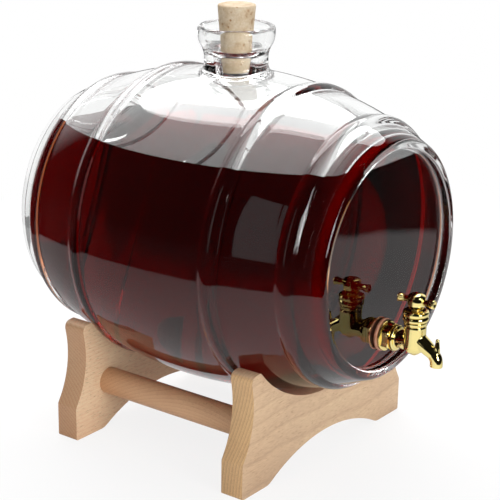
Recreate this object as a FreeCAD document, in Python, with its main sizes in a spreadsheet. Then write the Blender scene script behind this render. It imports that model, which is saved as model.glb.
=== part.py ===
import FreeCAD, Part
import math
import os

import Sketcher

# A glass barrel for drinks: it lies in a beech cradle, has a cork in its neck and a plug cock in its front head.
# Millimetres, +Z up, the tap points to -Y, and the barrel's axis runs along Y.

STAND_SIZES = {
    "board_width": 200.0,
    "board_thick": 18.0,
    "board_gap": 134.4,
    "foot_height": 25.5,
    "foot_round": 6.0,
    "arch_half": 69.3,
    "arch_radius": 139.6,
    "waist_radius": 68.7,
    "horn_half": 92.5,
    "horn_top": 87.6,
    "horn_round": 7.0,
    "corner_round": 2.0,
    "edge_bevel": 0.8,
    "saddle_gap": 0.3,
    "dowel_radius": 10.0,
    "dowel_side": 63.5,
    "dowel_height": 37.0,
    "socket_depth": 10.0,
    "glue_gap": 0.1,
}

# Heights in this group are measured from the barrel's axis.
BARREL_SIZES = {
    "axis_height": 157.0,
    "belly_radius": 113.6,
    "stave_radius": 309.1,
    "half_length": 134.6,
    "head_face": 129.0,
    "head_thick": 7.0,
    "chime_inner": 76.5,
    "chime_round": 4.4,
    "chime_bevel": 1.2,
    "wall": 6.5,
    "inner_round": 8.0,
    "hoop_middle": 58.7,
    "hoop_end": 110.8,
    "hoop_width": 13.0,
    "hoop_rise": 2.6,
    "neck_radius": 22.6,
    "neck_root": 5.0,
    "neck_root_lift": 2.0,
    "neck_top": 123.0,
    "flare_radius": 26.8,
    "flare_middle": 24.0,
    "flare_middle_height": 129.4,
    "flare_top": 134.0,
    "lip_radius": 27.3,
    "lip_inner": 22.6,
    "lip_top": 144.8,
    "lip_bevel": 1.4,
    "cup_radius": 20.6,
    "cup_middle": 17.6,
    "cup_middle_height": 128.2,
    "cup_low": 133.0,
    "cup_floor": 125.0,
    "tap_hole_radius": 6.3,
    "tap_drop": 54.3,
    "liquid_level": 66.0,
    "liquid_gap": 0.25,
    "cork_top": 159.3,
    "cork_length": 48.5,
    "cork_radius": 13.5,
    "cork_taper": 0.0863,
    "cork_gap": 0.3,
    "cork_edge": 0.6,
}

# Lengths along the pipe are measured from the plug's axis, and heights from the pipe's axis.
TAP_SIZES = {
    "plug_out": 154.9,
    "gasket_radius": 11.6,
    "gasket_thick": 2.4,
    "flange_radius": 11.0,
    "flange_thick": 2.2,
    "hex_flats": 18.0,
    "hex_thick": 5.6,
    "hex_bevel": 1.0,
    "back_nut_thick": 6.0,
    "shank_radius": 6.0,
    "shank_end": 43.9,
    "thread_gap": 0.1,
    "inlet_radius": 3.2,
    "collar_radius": 9.0,
    "collar_thick": 2.8,
    "collar_bevel": 0.8,
    "tube_radius": 6.6,
    "body_radius": 7.7,
    "body_foot_radius": 4.8,
    "body_cheek_radius": 6.9,
    "body_cheek": 5.0,
    "body_foot": 6.7,
    "body_shoulder": 1.5,
    "body_groove_low": 12.4,
    "body_groove_high": 13.4,
    "body_groove_radius": 7.0,
    "body_collar_radius": 7.9,
    "body_top": 15.9,
    "body_floor": 5.3,
    "nozzle_out": 17.7,
    "nozzle_drop": 13.2,
    "nozzle_radius": 4.4,
    "spout_bore": 2.6,
    "spout_rise": 4.5,
    "spout_fall": 30.7,
    "spout_bend": 6.0,
    "peg_low": -4.0,
    "peg_high": 6.6,
    "peg_foot_radius": 2.0,
    "peg_tip_radius": 1.2,
    "plug_radius": 4.5,
    "plug_gap": 0.05,
    "plug_low": 5.0,
    "plug_high": 12.3,
    "plug_stub_radius": 1.7,
    "plug_stub_low": 6.9,
    "port_radius": 2.7,
    "port_height": 1.0,
    "stem_radius": 3.0,
    "stem_high": 24.6,
    "drive_width": 4.4,
    "drive_high": 31.0,
    "ring_groove_depth": 1.55,
    "ring_groove_width": 1.8,
    "ring_low": -3.4,
    "ring_high": 10.2,
    "ring_wire": 0.75,
    "bonnet_spigot_low": 12.7,
    "bonnet_low": 16.0,
    "bonnet_high": 23.6,
    "bonnet_radius": 8.9,
    "bonnet_step": 1.1,
    "bonnet_groove": 0.6,
    "handle_height": 30.3,
    "hub_radius": 6.2,
    "hub_foot_radius": 4.8,
    "hub_low": 5.4,
    "hub_shoulder": 2.6,
    "hub_high": 3.4,
    "hub_top": 5.6,
    "arm_reach": 14.0,
    "arm_root_radius": 2.1,
    "arm_end_radius": 3.1,
    "arm_flare": 9.0,
    "arm_rim": 0.8,
    "arm_dimple": 1.3,
    "washer_radius": 3.4,
    "washer_thick": 0.7,
    "washer_gap": 0.3,
    "screw_radius": 2.5,
    "screw_head": 1.6,
    "screw_shank": 0.8,
    "screw_length": 3.0,
    "screw_gap": 0.05,
    "slot_width": 0.7,
    "slot_depth": 0.6,
}

SIZES = {**STAND_SIZES, **BARREL_SIZES, **TAP_SIZES}
FULL_TURN = 360
TINY = 1e-6
HOOP_CHORDS = 4
WALL_CHORDS = 8
ROUND_CHORDS = 2
STAVE_CHORD = 20.0
SHEET = "Sizes"


class Dim:
    """A size: its value now, and the sheet formula that gives it."""

    def __init__(self, value, formula):
        self.value = value
        self.formula = formula

    def joined(self, other, sign, value):
        return Dim(value, f"({self.formula} {sign} {other.formula})")

    def __add__(self, other):
        other = as_dim(other)
        return self.joined(other, "+", self.value + other.value)

    def __sub__(self, other):
        other = as_dim(other)
        return self.joined(other, "-", self.value - other.value)

    def __mul__(self, other):
        other = as_dim(other)
        return self.joined(other, "*", self.value * other.value)

    def __truediv__(self, other):
        other = as_dim(other)
        return self.joined(other, "/", self.value / other.value)

    def __neg__(self):
        return Dim(-self.value, f"(-1 * {self.formula})")


def as_dim(size):
    """Turn a plain number into a Dim, and leave a Dim as it is."""
    if isinstance(size, Dim):
        return size
    return Dim(size, str(size))


def size(alias):
    """The Dim of a cell of the sheet."""
    return Dim(SIZES[alias], f"{SHEET}.{alias}")


def leg(hypotenuse, other):
    """The other leg of a right triangle: half a chord of a circle, for one."""
    root = math.sqrt(hypotenuse.value ** 2 - other.value ** 2)
    return Dim(root, f"sqrt(({hypotenuse.formula})^2 - ({other.formula})^2)")


def cap_radius(half_width, rise):
    """The radius of the arc that rises this far over a chord of twice the half width."""
    return (half_width * half_width + rise * rise) / (rise * 2)


def sine(angle):
    return Dim(math.sin(math.radians(angle.value)), f"sin({angle.formula})")


def cosine(angle):
    return Dim(math.cos(math.radians(angle.value)), f"cos({angle.formula})")


def arc_sine(ratio):
    """The angle in degrees that has this sine."""
    return Dim(math.degrees(math.asin(ratio.value)), f"asin({ratio.formula})")


def arc_cosine(ratio):
    """The angle in degrees that has this cosine."""
    return Dim(math.degrees(math.acos(ratio.value)), f"acos({ratio.formula})")


ZERO = Dim(0, "0")
UPRIGHT = Dim(0, "0 deg")
QUARTER = Dim(90, "90 deg")

doc = FreeCAD.newDocument("GlassBarrelDispenser")
nodes = []


def make_sheet():
    """Write every driving dimension to a cell of its own, with its name as the cell's alias."""
    sheet = doc.addObject("Spreadsheet::Sheet", SHEET)
    for row, (alias, value) in enumerate(SIZES.items(), 1):
        sheet.set(f"A{row}", alias)
        sheet.set(f"B{row}", str(value))
        sheet.setAlias(f"B{row}", alias)
    doc.recompute()


def place(node, y, z, x=ZERO):
    """Put a sub-part in the object's frame, and list it for export."""
    for axis, offset in (("x", x), ("y", y), ("z", z)):
        node.setExpression(f"Placement.Base.{axis}", offset.formula)
    nodes.append(node)


def new_body(label, y, z):
    """An empty body whose own origin stands at the given place."""
    body = doc.addObject("PartDesign::Body", label)
    body.Label = label
    place(body, y, z)
    return body


def new_sketch(body, name, role, lift=None):
    """A sketch on one of the body's own origin planes, lifted along the plane's normal."""
    sketch = body.newObject("Sketcher::SketchObject", f"{body.Label}_{name}")
    plane = next(feature for feature in body.Origin.OriginFeatures if feature.Role == role)
    sketch.AttachmentSupport = [(plane, "")]
    sketch.MapMode = "FlatFace"
    if lift is not None:
        sketch.setExpression("AttachmentOffset.Base.z", lift.formula)
    return sketch


def bind(sketch, constraint, formula):
    """Add a constraint and tie its value to the sheet."""
    number = sketch.addConstraint(constraint)
    sketch.setExpression(f"Constraints[{number}]", formula)


def hold(sketch, shape, end, x, y):
    """Fix a sketch point at x, y."""
    for kind, axis, along in (("DistanceX", -2, x), ("DistanceY", -1, y)):
        if abs(along.value) < TINY:
            sketch.addConstraint(Sketcher.Constraint("PointOnObject", shape, end, axis))
        elif along.value > 0:
            bind(sketch, Sketcher.Constraint(kind, -1, 1, shape, end, along.value), along.formula)
        else:
            back = -along
            bind(sketch, Sketcher.Constraint(kind, shape, end, -1, 1, back.value), back.formula)


def vector(point):
    return FreeCAD.Vector(point[0].value, point[1].value, 0)


def arc_between(start, end, radius, turn):
    """The arc of less than half a circle from start to end. turn is 1 to the left, -1 to the right."""
    chord = end - start
    across = FreeCAD.Vector(-chord.y, chord.x, 0).normalize()
    rise = math.sqrt(radius ** 2 - (chord.Length / 2) ** 2)
    centre = start + chord * 0.5 + across * (rise * turn)
    first, last = (start, end) if turn > 0 else (end, start)
    angles = [math.atan2(point.y - centre.y, point.x - centre.x) for point in (first, last)]
    circle = Part.Circle(centre, FreeCAD.Vector(0, 0, 1), radius)
    return Part.ArcOfCircle(circle, angles[0], angles[1])


def outline(sketch, *corners):
    """Draw a closed outline through the corners. A corner is (x, y) at the end of a straight side,
    or (x, y, radius, turn) at the end of an arc."""
    previous = corners[-1]
    ends = []
    for corner in corners:
        start, end = vector(previous), vector(corner)
        if len(corner) == 2:
            shape = sketch.addGeometry(Part.LineSegment(start, end), False)
            first, last = 1, 2
        else:
            radius, turn = corner[2], corner[3]
            shape = sketch.addGeometry(arc_between(start, end, radius.value, turn), False)
            first, last = (1, 2) if turn > 0 else (2, 1)
            bind(sketch, Sketcher.Constraint("Radius", shape, radius.value), radius.formula)
        ends.append((shape, first, last))
        previous = corner
    for number, corner in enumerate(corners):
        shape, first, last = ends[number]
        before = ends[number - 1]
        sketch.addConstraint(Sketcher.Constraint("Coincident", before[0], before[2], shape, first))
        hold(sketch, shape, last, as_dim(corner[0]), as_dim(corner[1]))


def disc(sketch, x, y, radius):
    """Draw a full circle."""
    circle = Part.Circle(vector((x, y)), FreeCAD.Vector(0, 0, 1), radius.value)
    shape = sketch.addGeometry(circle, False)
    hold(sketch, shape, 3, x, y)
    bind(sketch, Sketcher.Constraint("Radius", shape, radius.value), radius.formula)


def rectangle(sketch, half_width, half_depth):
    """Draw a rectangle about the sketch's origin."""
    outline(
        sketch,
        (half_width, -half_depth),
        (half_width, half_depth),
        (-half_width, half_depth),
        (-half_width, -half_depth),
    )


def hexagon(sketch, flats):
    """Draw a hexagon with two sides upright, given the distance across its flats."""
    half = flats / 2
    corner = flats / math.sqrt(3)
    outline(
        sketch,
        (half, corner / 2),
        (ZERO, corner),
        (-half, corner / 2),
        (-half, -corner / 2),
        (ZERO, -corner),
        (half, -corner / 2),
    )


def finish_cut(feature, before):
    """A cut that removes nothing points the wrong way."""
    doc.recompute()
    if not feature.Shape.Volume < before - TINY:
        raise ValueError(f"{feature.Name} cuts nothing")
    return feature


def spin(body, sketch, axis):
    """Turn a profile about one of its sketch's axes into solid. The seam lies opposite the profile."""
    feature = body.newObject("PartDesign::Revolution", f"{sketch.Name}_turned")
    feature.Profile = sketch
    feature.ReferenceAxis = (sketch, [axis])
    feature.Angle = FULL_TURN
    feature.Midplane = True
    doc.recompute()
    return feature


def spin_away(body, sketch, axis):
    """Turn a profile about one of its sketch's axes out of the solid."""
    before = body.Tip.Shape.Volume
    feature = body.newObject("PartDesign::Groove", f"{sketch.Name}_groove")
    feature.Profile = sketch
    feature.ReferenceAxis = (sketch, [axis])
    feature.Angle = FULL_TURN
    return finish_cut(feature, before)


def pad(body, sketch, length, both_ways=False):
    """Raise a profile along the sketch's normal, or half to each side of it."""
    feature = body.newObject("PartDesign::Pad", f"{sketch.Name}_pad")
    feature.Profile = sketch
    feature.setExpression("Length", length.formula)
    if both_ways:
        feature.SideType = "Symmetric"
    doc.recompute()
    return feature


def pocket(body, sketch, depth, along_normal=False, both_ways=False):
    """Sink a profile against the sketch's normal, along it, or half to each side."""
    before = body.Tip.Shape.Volume
    feature = body.newObject("PartDesign::Pocket", f"{sketch.Name}_pocket")
    feature.Profile = sketch
    feature.setExpression("Length", depth.formula)
    feature.Reversed = along_normal
    if both_ways:
        feature.SideType = "Symmetric"
    return finish_cut(feature, before)


def round_edges(body, name, radius, wanted):
    """Round the edges of the body's last feature that the test picks."""
    base = body.Tip
    edges = [f"Edge{number}" for number, edge in enumerate(base.Shape.Edges, 1) if wanted(edge)]
    fillet = body.newObject("PartDesign::Fillet", f"{body.Label}_{name}")
    fillet.Base = (base, edges)
    fillet.setExpression("Radius", radius.formula)
    doc.recompute()
    return fillet


def bevel_edges(body, name, width, wanted):
    """Bevel the edges of the body's last feature that the test picks."""
    base = body.Tip
    edges = [f"Edge{number}" for number, edge in enumerate(base.Shape.Edges, 1) if wanted(edge)]
    bevel = body.newObject("PartDesign::Chamfer", f"{body.Label}_{name}")
    bevel.Base = (base, edges)
    bevel.setExpression("Size", width.formula)
    doc.recompute()
    return bevel


def near(number, target, slack=0.05):
    return abs(number - target) < slack


def round_edge_at(edge, radius=None, x=None, y=None, z=None):
    """Whether an edge is a circle of this radius whose centre has these coordinates."""
    if not isinstance(edge.Curve, Part.Circle):
        return False
    centre = edge.Curve.Center
    pairs = ((edge.Curve.Radius, radius), (centre.x, x), (centre.y, y), (centre.z, z))
    return all(target is None or near(number, target) for number, target in pairs)


# Where the groups stand. The object's origin is under the middle of its box, on the table.
front_reach = size("plug_out") + size("nozzle_out") + size("nozzle_radius")
middle_y = (front_reach - size("half_length")) / 2
axis_z = size("axis_height")
plug_y = middle_y - size("plug_out")
pipe_z = axis_z - size("tap_drop")
glass_y = middle_y - size("head_face")

# The staves bend on one arc, whose centre lies below the barrel's axis.
stave_centre = size("belly_radius") - size("stave_radius")


def stave_at(y):
    """The barrel's radius at a distance y from its middle."""
    return stave_centre + leg(size("stave_radius"), y)


def bend(centre, radius, first, last, chords):
    """Points on an arc, at the ends of equal chords, without the first. Angles are in degrees from
    straight up towards +x. Chords turn into cones, which keep a turned surface light."""
    step = (last - first) / chords
    angles = [first + step * number for number in range(1, chords + 1)]
    return [(centre[0] + radius * sine(angle), centre[1] + radius * cosine(angle)) for angle in angles]


def corner_bend(stave, end, radius, chords):
    """A rounded corner from the flat end onto the staves' arc, and the angle where it meets them."""
    across = end - radius
    up = stave_centre + leg(stave - radius, across)
    angle = arc_sine(across / (stave - radius))
    return [(end, up)] + bend((across, up), radius, QUARTER, angle, chords), angle


def stave_chords(first, last):
    """How many chords keep the staves' arc smooth between two angles."""
    length = math.radians(abs(last.value - first.value)) * size("stave_radius").value
    return math.ceil(length / STAVE_CHORD)


def hoop_bend(place_y):
    """A hoop's outline from right to left, and the angles at which it leaves and meets the staves."""
    stave, rise = size("stave_radius"), size("hoop_rise")
    bead = cap_radius(size("hoop_width") / 2, rise)
    reach = stave + rise - bead
    middle = arc_sine(place_y / stave)
    swing = arc_cosine((reach * reach + stave * stave - bead * bead) / (reach * stave * 2))
    spread = arc_cosine((stave * cosine(swing) - reach) / bead)
    centre = (reach * sine(middle), stave_centre + reach * cosine(middle))
    points = bend(centre, bead, middle + spread, middle - spread, HOOP_CHORDS)
    return points, middle + swing, middle - swing


def cork_at(height):
    """The cork's radius at a height above the barrel's axis."""
    return size("cork_radius") - (size("cork_top") - height) * size("cork_taper")


def make_cradle(label, y, inner_face_first):
    """A board on edge: feet and arch below, a waist on each side, and a saddle between two horns."""
    body = new_body(label, y, ZERO)
    half = size("board_width") / 2
    horn, top = size("horn_half"), size("horn_top")
    foot, arch = size("foot_height"), size("arch_half")
    seat = stave_at(size("board_gap") / 2) + size("saddle_gap")
    seat_half = leg(seat, axis_z - top)
    profile = new_sketch(body, "outline", "XZ_Plane")
    outline(
        profile,
        (-half, ZERO),
        (-arch, ZERO),
        (arch, ZERO, size("arch_radius"), -1),
        (half, ZERO),
        (half, foot),
        (horn, top, size("waist_radius"), -1),
        (seat_half, top),
        (-seat_half, top, seat, -1),
        (-horn, top),
        (-half, foot, size("waist_radius"), -1),
    )
    pad(body, profile, size("board_thick"))

    def upright_corner(x, z):
        def test(edge):
            centre = edge.CenterOfMass
            across = near(edge.BoundBox.YLength, size("board_thick").value)
            return across and near(abs(centre.x), x.value) and near(centre.z, z.value)
        return test

    round_edges(body, "horns", size("horn_round"), upright_corner(horn, top))
    round_edges(body, "feet", size("foot_round"), upright_corner(arch, ZERO))
    corners = {"toes": (half, ZERO), "ankles": (half, foot), "seat_ends": (seat_half, top)}
    for name, corner in corners.items():
        round_edges(body, name, size("corner_round"), upright_corner(*corner))
    bevel_edges(body, "arrises", size("edge_bevel"), lambda edge: near(edge.BoundBox.YLength, 0))
    lift = ZERO if inner_face_first else size("board_thick")
    sockets = new_sketch(body, "sockets", "XZ_Plane", lift)
    for side in (-1, 1):
        disc(sockets, size("dowel_side") * side, size("dowel_height"), size("dowel_radius") + size("glue_gap"))
    pocket(body, sockets, size("socket_depth"), along_normal=inner_face_first)


def make_dowel(label, side):
    """A round rail whose ends stand in the blind sockets of both boards."""
    dowel = doc.addObject("Part::Cylinder", label)
    dowel.Label = label
    length = size("board_gap") + (size("socket_depth") - size("glue_gap")) * 2
    dowel.setExpression("Radius", size("dowel_radius").formula)
    dowel.setExpression("Height", length.formula)
    dowel.Placement.Rotation = FreeCAD.Rotation(FreeCAD.Vector(1, 0, 0), -90)
    place(dowel, middle_y - length / 2, size("dowel_height"), size("dowel_side") * side)


def draw_filling(sketch, gap):
    """Half the outline of what is inside the glass, at this gap from it."""
    wall = size("stave_radius") - size("wall") - gap
    end = size("head_face") - size("head_thick") - gap
    corner, angle = corner_bend(wall, end, size("inner_round"), ROUND_CHORDS)
    side = [(end, ZERO), *corner]
    middle = bend((ZERO, stave_centre), wall, angle, -angle, WALL_CHORDS)[:-1]
    outline(sketch, *side, *middle, *[(-x, y) for x, y in reversed(side)])


def make_barrel():
    """The glass: bulging wall, four hoops, two heads set back behind a chime, and a neck on top."""
    body = new_body("glass_barrel", middle_y, axis_z)
    stave = size("stave_radius")
    half, head, chime = size("half_length"), size("head_face"), size("chime_inner")
    bevel = size("chime_bevel")
    foot = (ZERO, stave_centre)
    corner, angle = corner_bend(stave, half, size("chime_round"), ROUND_CHORDS)
    side = [(head, ZERO), (head, chime), (half - bevel, chime), (half, chime + bevel), *corner]
    places = (size("hoop_end"), size("hoop_middle"), -size("hoop_middle"), -size("hoop_end"))
    wall = []
    for place_y in places:
        points, leave, meet = hoop_bend(place_y)
        wall.extend(bend(foot, stave, angle, leave, stave_chords(angle, leave)))
        wall.extend(points)
        angle = meet
    far = [(-x, y) for x, y in reversed(side)]
    last = -corner_bend(stave, half, size("chime_round"), ROUND_CHORDS)[1]
    wall.extend(bend(foot, stave, angle, last, stave_chords(angle, last))[:-1])
    shell = new_sketch(body, "shell", "YZ_Plane")
    outline(shell, *side, *wall, *far)
    spin(body, shell, "H_Axis")

    neck = new_sketch(body, "neck", "YZ_Plane")
    neck_low = size("belly_radius") - size("wall")
    root = size("neck_root")
    root_side = size("neck_radius") + root
    root_high = size("belly_radius") + size("neck_root_lift")
    outline(
        neck,
        (ZERO, neck_low),
        (root_side, neck_low),
        (root_side, root_high - root),
        *bend((root_side, root_high), root, -QUARTER * 2, -QUARTER, ROUND_CHORDS + 1),
        (size("neck_radius"), size("neck_top")),
        (size("flare_middle"), size("flare_middle_height")),
        (size("flare_radius"), size("flare_top")),
        (size("lip_radius"), size("lip_top")),
        (ZERO, size("lip_top")),
    )
    spin(body, neck, "V_Axis")

    cavity = new_sketch(body, "cavity", "YZ_Plane")
    draw_filling(cavity, ZERO)
    spin_away(body, cavity, "H_Axis")

    mouth = new_sketch(body, "mouth", "YZ_Plane")
    low, floor = neck_low - size("wall"), size("cup_floor")
    outline(
        mouth,
        (ZERO, low),
        (cork_at(low) + size("cork_gap"), low),
        (cork_at(floor) + size("cork_gap"), floor),
        (size("cup_middle"), size("cup_middle_height")),
        (size("cup_radius"), size("cup_low")),
        (size("lip_inner"), size("lip_top")),
        (ZERO, size("lip_top")),
    )
    spin_away(body, mouth, "V_Axis")
    bevel_edges(body, "lip", size("lip_bevel"), lambda edge: round_edge_at(edge, z=size("lip_top").value))

    tap_hole = new_sketch(body, "tap_hole", "XZ_Plane")
    disc(tap_hole, ZERO, -size("tap_drop"), size("tap_hole_radius"))
    pocket(body, tap_hole, half, along_normal=True)


def make_liquid():
    """The drink: it fills the cavity up to its level, and leaves room for the tap's nut and shank."""
    body = new_body("liquid_fill", middle_y, axis_z)
    fill = new_sketch(body, "fill", "YZ_Plane")
    draw_filling(fill, size("liquid_gap"))
    spin(body, fill, "H_Axis")
    space = new_sketch(body, "head_space", "XY_Plane", size("liquid_level"))
    rectangle(space, size("belly_radius"), size("half_length"))
    pocket(body, space, size("belly_radius"), along_normal=True)
    hardware = new_sketch(body, "hardware", "XZ_Plane")
    disc(hardware, ZERO, -size("tap_drop"), size("gasket_radius") + size("liquid_gap"))
    shank_tip = size("plug_out") - size("shank_end") - size("liquid_gap")
    hardware.setExpression("AttachmentOffset.Base.z", shank_tip.formula)
    pocket(body, hardware, size("half_length"), along_normal=True)


def make_cork():
    """A tapered cork stopper with eased ends."""
    length = size("cork_length")
    bottom = size("cork_top") - length
    body = new_body("cork_stopper", middle_y, axis_z + bottom)
    profile = new_sketch(body, "profile", "YZ_Plane")
    outline(
        profile,
        (ZERO, ZERO),
        (cork_at(bottom), ZERO),
        (size("cork_radius"), length),
        (ZERO, length),
    )
    spin(body, profile, "V_Axis")
    bevel_edges(body, "ends", size("cork_edge"), lambda edge: isinstance(edge.Curve, Part.Circle))


def make_ring(label, y, radius, hole, thick):
    """A flat ring about the tap's pipe, with its rear face at y."""
    body = new_body(label, y, pipe_z)
    profile = new_sketch(body, "profile", "XZ_Plane")
    disc(profile, ZERO, ZERO, radius)
    disc(profile, ZERO, ZERO, hole)
    pad(body, profile, thick)
    return body


def make_gaskets():
    """A soft ring on each side of the glass head."""
    hole = size("shank_radius") + size("thread_gap")
    inside = glass_y + size("head_thick") + size("gasket_thick")
    for label, y in (("outer_gasket", glass_y), ("inner_gasket", inside)):
        body = make_ring(label, y, size("gasket_radius"), hole, size("gasket_thick"))
        rim = size("gasket_radius").value
        bevel_edges(body, "rim", size("edge_bevel"), lambda edge: round_edge_at(edge, rim))


def bevel_hexagon(body, face_y):
    """Turn the corners off a hexagon's end at face_y, as a lathe leaves them on a nut."""
    corner = size("hex_flats") / math.sqrt(3)
    flat = size("hex_flats") / 2
    bevel = new_sketch(body, "bevel", "YZ_Plane")
    outline(
        bevel,
        (face_y, flat),
        (face_y + size("hex_bevel"), corner + size("hex_bevel")),
        (face_y, corner + size("hex_bevel")),
    )
    spin_away(body, bevel, "H_Axis")


def make_nuts():
    """The flanged nut outside the head and the plain back nut inside it."""
    hole = size("shank_radius") + size("thread_gap")
    outside = glass_y - size("gasket_thick")
    flange = make_ring("flange_nut", outside, size("flange_radius"), hole, size("flange_thick"))
    rim = size("flange_radius").value
    bevel_edges(flange, "rim", size("collar_bevel"), lambda edge: round_edge_at(edge, rim))
    spanner = new_sketch(flange, "spanner", "XZ_Plane", size("flange_thick"))
    hexagon(spanner, size("hex_flats"))
    disc(spanner, ZERO, ZERO, hole)
    pad(flange, spanner, size("hex_thick"))
    bevel_hexagon(flange, -(size("flange_thick") + size("hex_thick")))

    inside = glass_y + size("head_thick") + size("gasket_thick") + size("back_nut_thick")
    back = new_body("back_nut", inside, pipe_z)
    profile = new_sketch(back, "profile", "XZ_Plane")
    hexagon(profile, size("hex_flats"))
    disc(profile, ZERO, ZERO, hole)
    pad(back, profile, size("back_nut_thick"))


def draw_spout_line(sketch):
    """The spout's middle line: up from the nozzle's mouth, round a bend, and back into the body."""
    out, drop, radius = size("nozzle_out"), size("nozzle_drop"), size("spout_bend")
    fall = math.radians(size("spout_fall").value)
    tip = FreeCAD.Vector(-out.value, -drop.value, 0)
    root = FreeCAD.Vector(0, size("spout_rise").value, 0)
    corner = FreeCAD.Vector(-out.value, root.y - out.value * math.tan(fall), 0)
    tangent = radius.value * math.tan((math.pi / 2 - fall) / 2)
    low = corner - FreeCAD.Vector(0, tangent, 0)
    high = corner + FreeCAD.Vector(math.cos(fall), math.sin(fall), 0) * tangent
    nozzle = sketch.addGeometry(Part.LineSegment(tip, low), False)
    turn = sketch.addGeometry(arc_between(low, high, radius.value, -1), False)
    slope = sketch.addGeometry(Part.LineSegment(high, root), False)
    sketch.addConstraint(Sketcher.Constraint("Tangent", nozzle, 2, turn, 2))
    sketch.addConstraint(Sketcher.Constraint("Tangent", turn, 1, slope, 1))
    sketch.addConstraint(Sketcher.Constraint("Vertical", nozzle))
    hold(sketch, nozzle, 1, -out, -drop)
    hold(sketch, slope, 2, ZERO, size("spout_rise"))
    bind(sketch, Sketcher.Constraint("Radius", turn, radius.value), radius.formula)
    bind(sketch, Sketcher.Constraint("Angle", slope, fall), f"{size('spout_fall').formula} * 1 deg")


def pipe_spout(body, name, kind, line, radius):
    """Run a round section along the spout's middle line."""
    section = new_sketch(body, name, "XY_Plane", -size("nozzle_drop"))
    disc(section, ZERO, -size("nozzle_out"), radius)
    pipe = body.newObject(f"PartDesign::{kind}", f"{section.Name}_pipe")
    pipe.Profile = section
    pipe.Spine = (line, [])
    doc.recompute()
    return pipe


def make_tap_body():
    """The cock's casting: an upright barrel for the plug, a pipe to the glass, and a bent spout."""
    body = new_body("tap_body", plug_y, pipe_z)
    foot = -size("body_foot")
    barrel = new_sketch(body, "barrel", "YZ_Plane")
    outline(
        barrel,
        (ZERO, foot),
        (size("body_foot_radius"), foot),
        (size("body_cheek_radius"), -size("body_cheek")),
        (size("body_radius"), -size("body_shoulder")),
        (size("body_radius"), size("body_groove_low")),
        (size("body_groove_radius"), size("body_groove_low")),
        (size("body_groove_radius"), size("body_groove_high")),
        (size("body_collar_radius"), size("body_groove_high")),
        (size("body_collar_radius"), size("body_top")),
        (ZERO, size("body_top")),
    )
    spin(body, barrel, "V_Axis")

    clamped = size("gasket_thick") + size("flange_thick") + size("hex_thick")
    collar_back = size("plug_out") - size("head_face") - clamped
    collar_front = collar_back - size("collar_thick")
    pipe = new_sketch(body, "pipe", "YZ_Plane")
    outline(
        pipe,
        (ZERO, ZERO),
        (size("shank_end"), ZERO),
        (size("shank_end"), size("shank_radius")),
        (collar_back, size("shank_radius")),
        (collar_back, size("collar_radius")),
        (collar_front, size("collar_radius")),
        (collar_front, size("tube_radius")),
        (ZERO, size("tube_radius")),
    )
    spin(body, pipe, "H_Axis")
    collar = size("collar_radius").value
    bevel_edges(body, "collar", size("collar_bevel"), lambda edge: round_edge_at(edge, collar))

    line = new_sketch(body, "spout_line", "YZ_Plane")
    draw_spout_line(line)
    pipe_spout(body, "spout", "AdditivePipe", line, size("nozzle_radius"))
    peg = new_sketch(body, "peg", "XY_Plane", size("peg_low"))
    disc(peg, ZERO, -size("nozzle_out"), size("peg_foot_radius"))
    peg_tip = new_sketch(body, "peg_tip", "XY_Plane", size("peg_high"))
    disc(peg_tip, ZERO, -size("nozzle_out"), size("peg_tip_radius"))
    hook = body.newObject("PartDesign::AdditiveLoft", "tap_body_peg_loft")
    hook.Profile = peg
    hook.Sections = [peg_tip]
    doc.recompute()
    pipe_spout(body, "spout_bore", "SubtractivePipe", line, size("spout_bore"))

    seat = new_sketch(body, "plug_seat", "XY_Plane", size("body_top"))
    disc(seat, ZERO, ZERO, size("plug_radius") + size("plug_gap"))
    pocket(body, seat, size("body_top") + size("body_floor"))
    stub = new_sketch(body, "stub_hole", "XY_Plane")
    disc(stub, ZERO, ZERO, size("plug_stub_radius") + size("plug_gap"))
    pocket(body, stub, size("body_foot"))
    inlet = new_sketch(body, "inlet", "XZ_Plane")
    disc(inlet, ZERO, ZERO, size("inlet_radius"))
    pocket(body, inlet, size("shank_end"))


def make_plug():
    """The turning plug: two seal grooves, a cross port, a stem and a square drive for the handle."""
    body = new_body("tap_plug", plug_y, pipe_z)
    radius = size("plug_radius")
    profile = new_sketch(body, "profile", "YZ_Plane")
    outline(
        profile,
        (ZERO, -size("plug_stub_low")),
        (size("plug_stub_radius"), -size("plug_stub_low")),
        (size("plug_stub_radius"), -size("plug_low")),
        (radius, -size("plug_low")),
        (radius, size("plug_high")),
        (size("stem_radius"), size("plug_high")),
        (size("stem_radius"), size("stem_high")),
        (ZERO, size("stem_high")),
    )
    spin(body, profile, "V_Axis")
    drive = new_sketch(body, "drive", "XY_Plane", size("stem_high"))
    rectangle(drive, size("drive_width") / 2, size("drive_width") / 2)
    pad(body, drive, size("drive_high") - size("stem_high"))
    half = size("ring_groove_width") / 2
    root = radius - size("ring_groove_depth")
    grooves = new_sketch(body, "ring_grooves", "YZ_Plane")
    for height in (size("ring_low"), size("ring_high")):
        outline(
            grooves,
            (root, height - half),
            (radius + half, height - half),
            (radius + half, height + half),
            (root, height + half),
        )
    spin_away(body, grooves, "V_Axis")
    port = new_sketch(body, "port", "YZ_Plane")
    disc(port, ZERO, size("port_height"), size("port_radius"))
    pocket(body, port, radius * 3, both_ways=True)
    tapped = new_sketch(body, "screw_hole", "XY_Plane", -size("plug_stub_low"))
    disc(tapped, ZERO, ZERO, size("screw_shank") + size("screw_gap"))
    pocket(body, tapped, size("screw_length"), along_normal=True)


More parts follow.
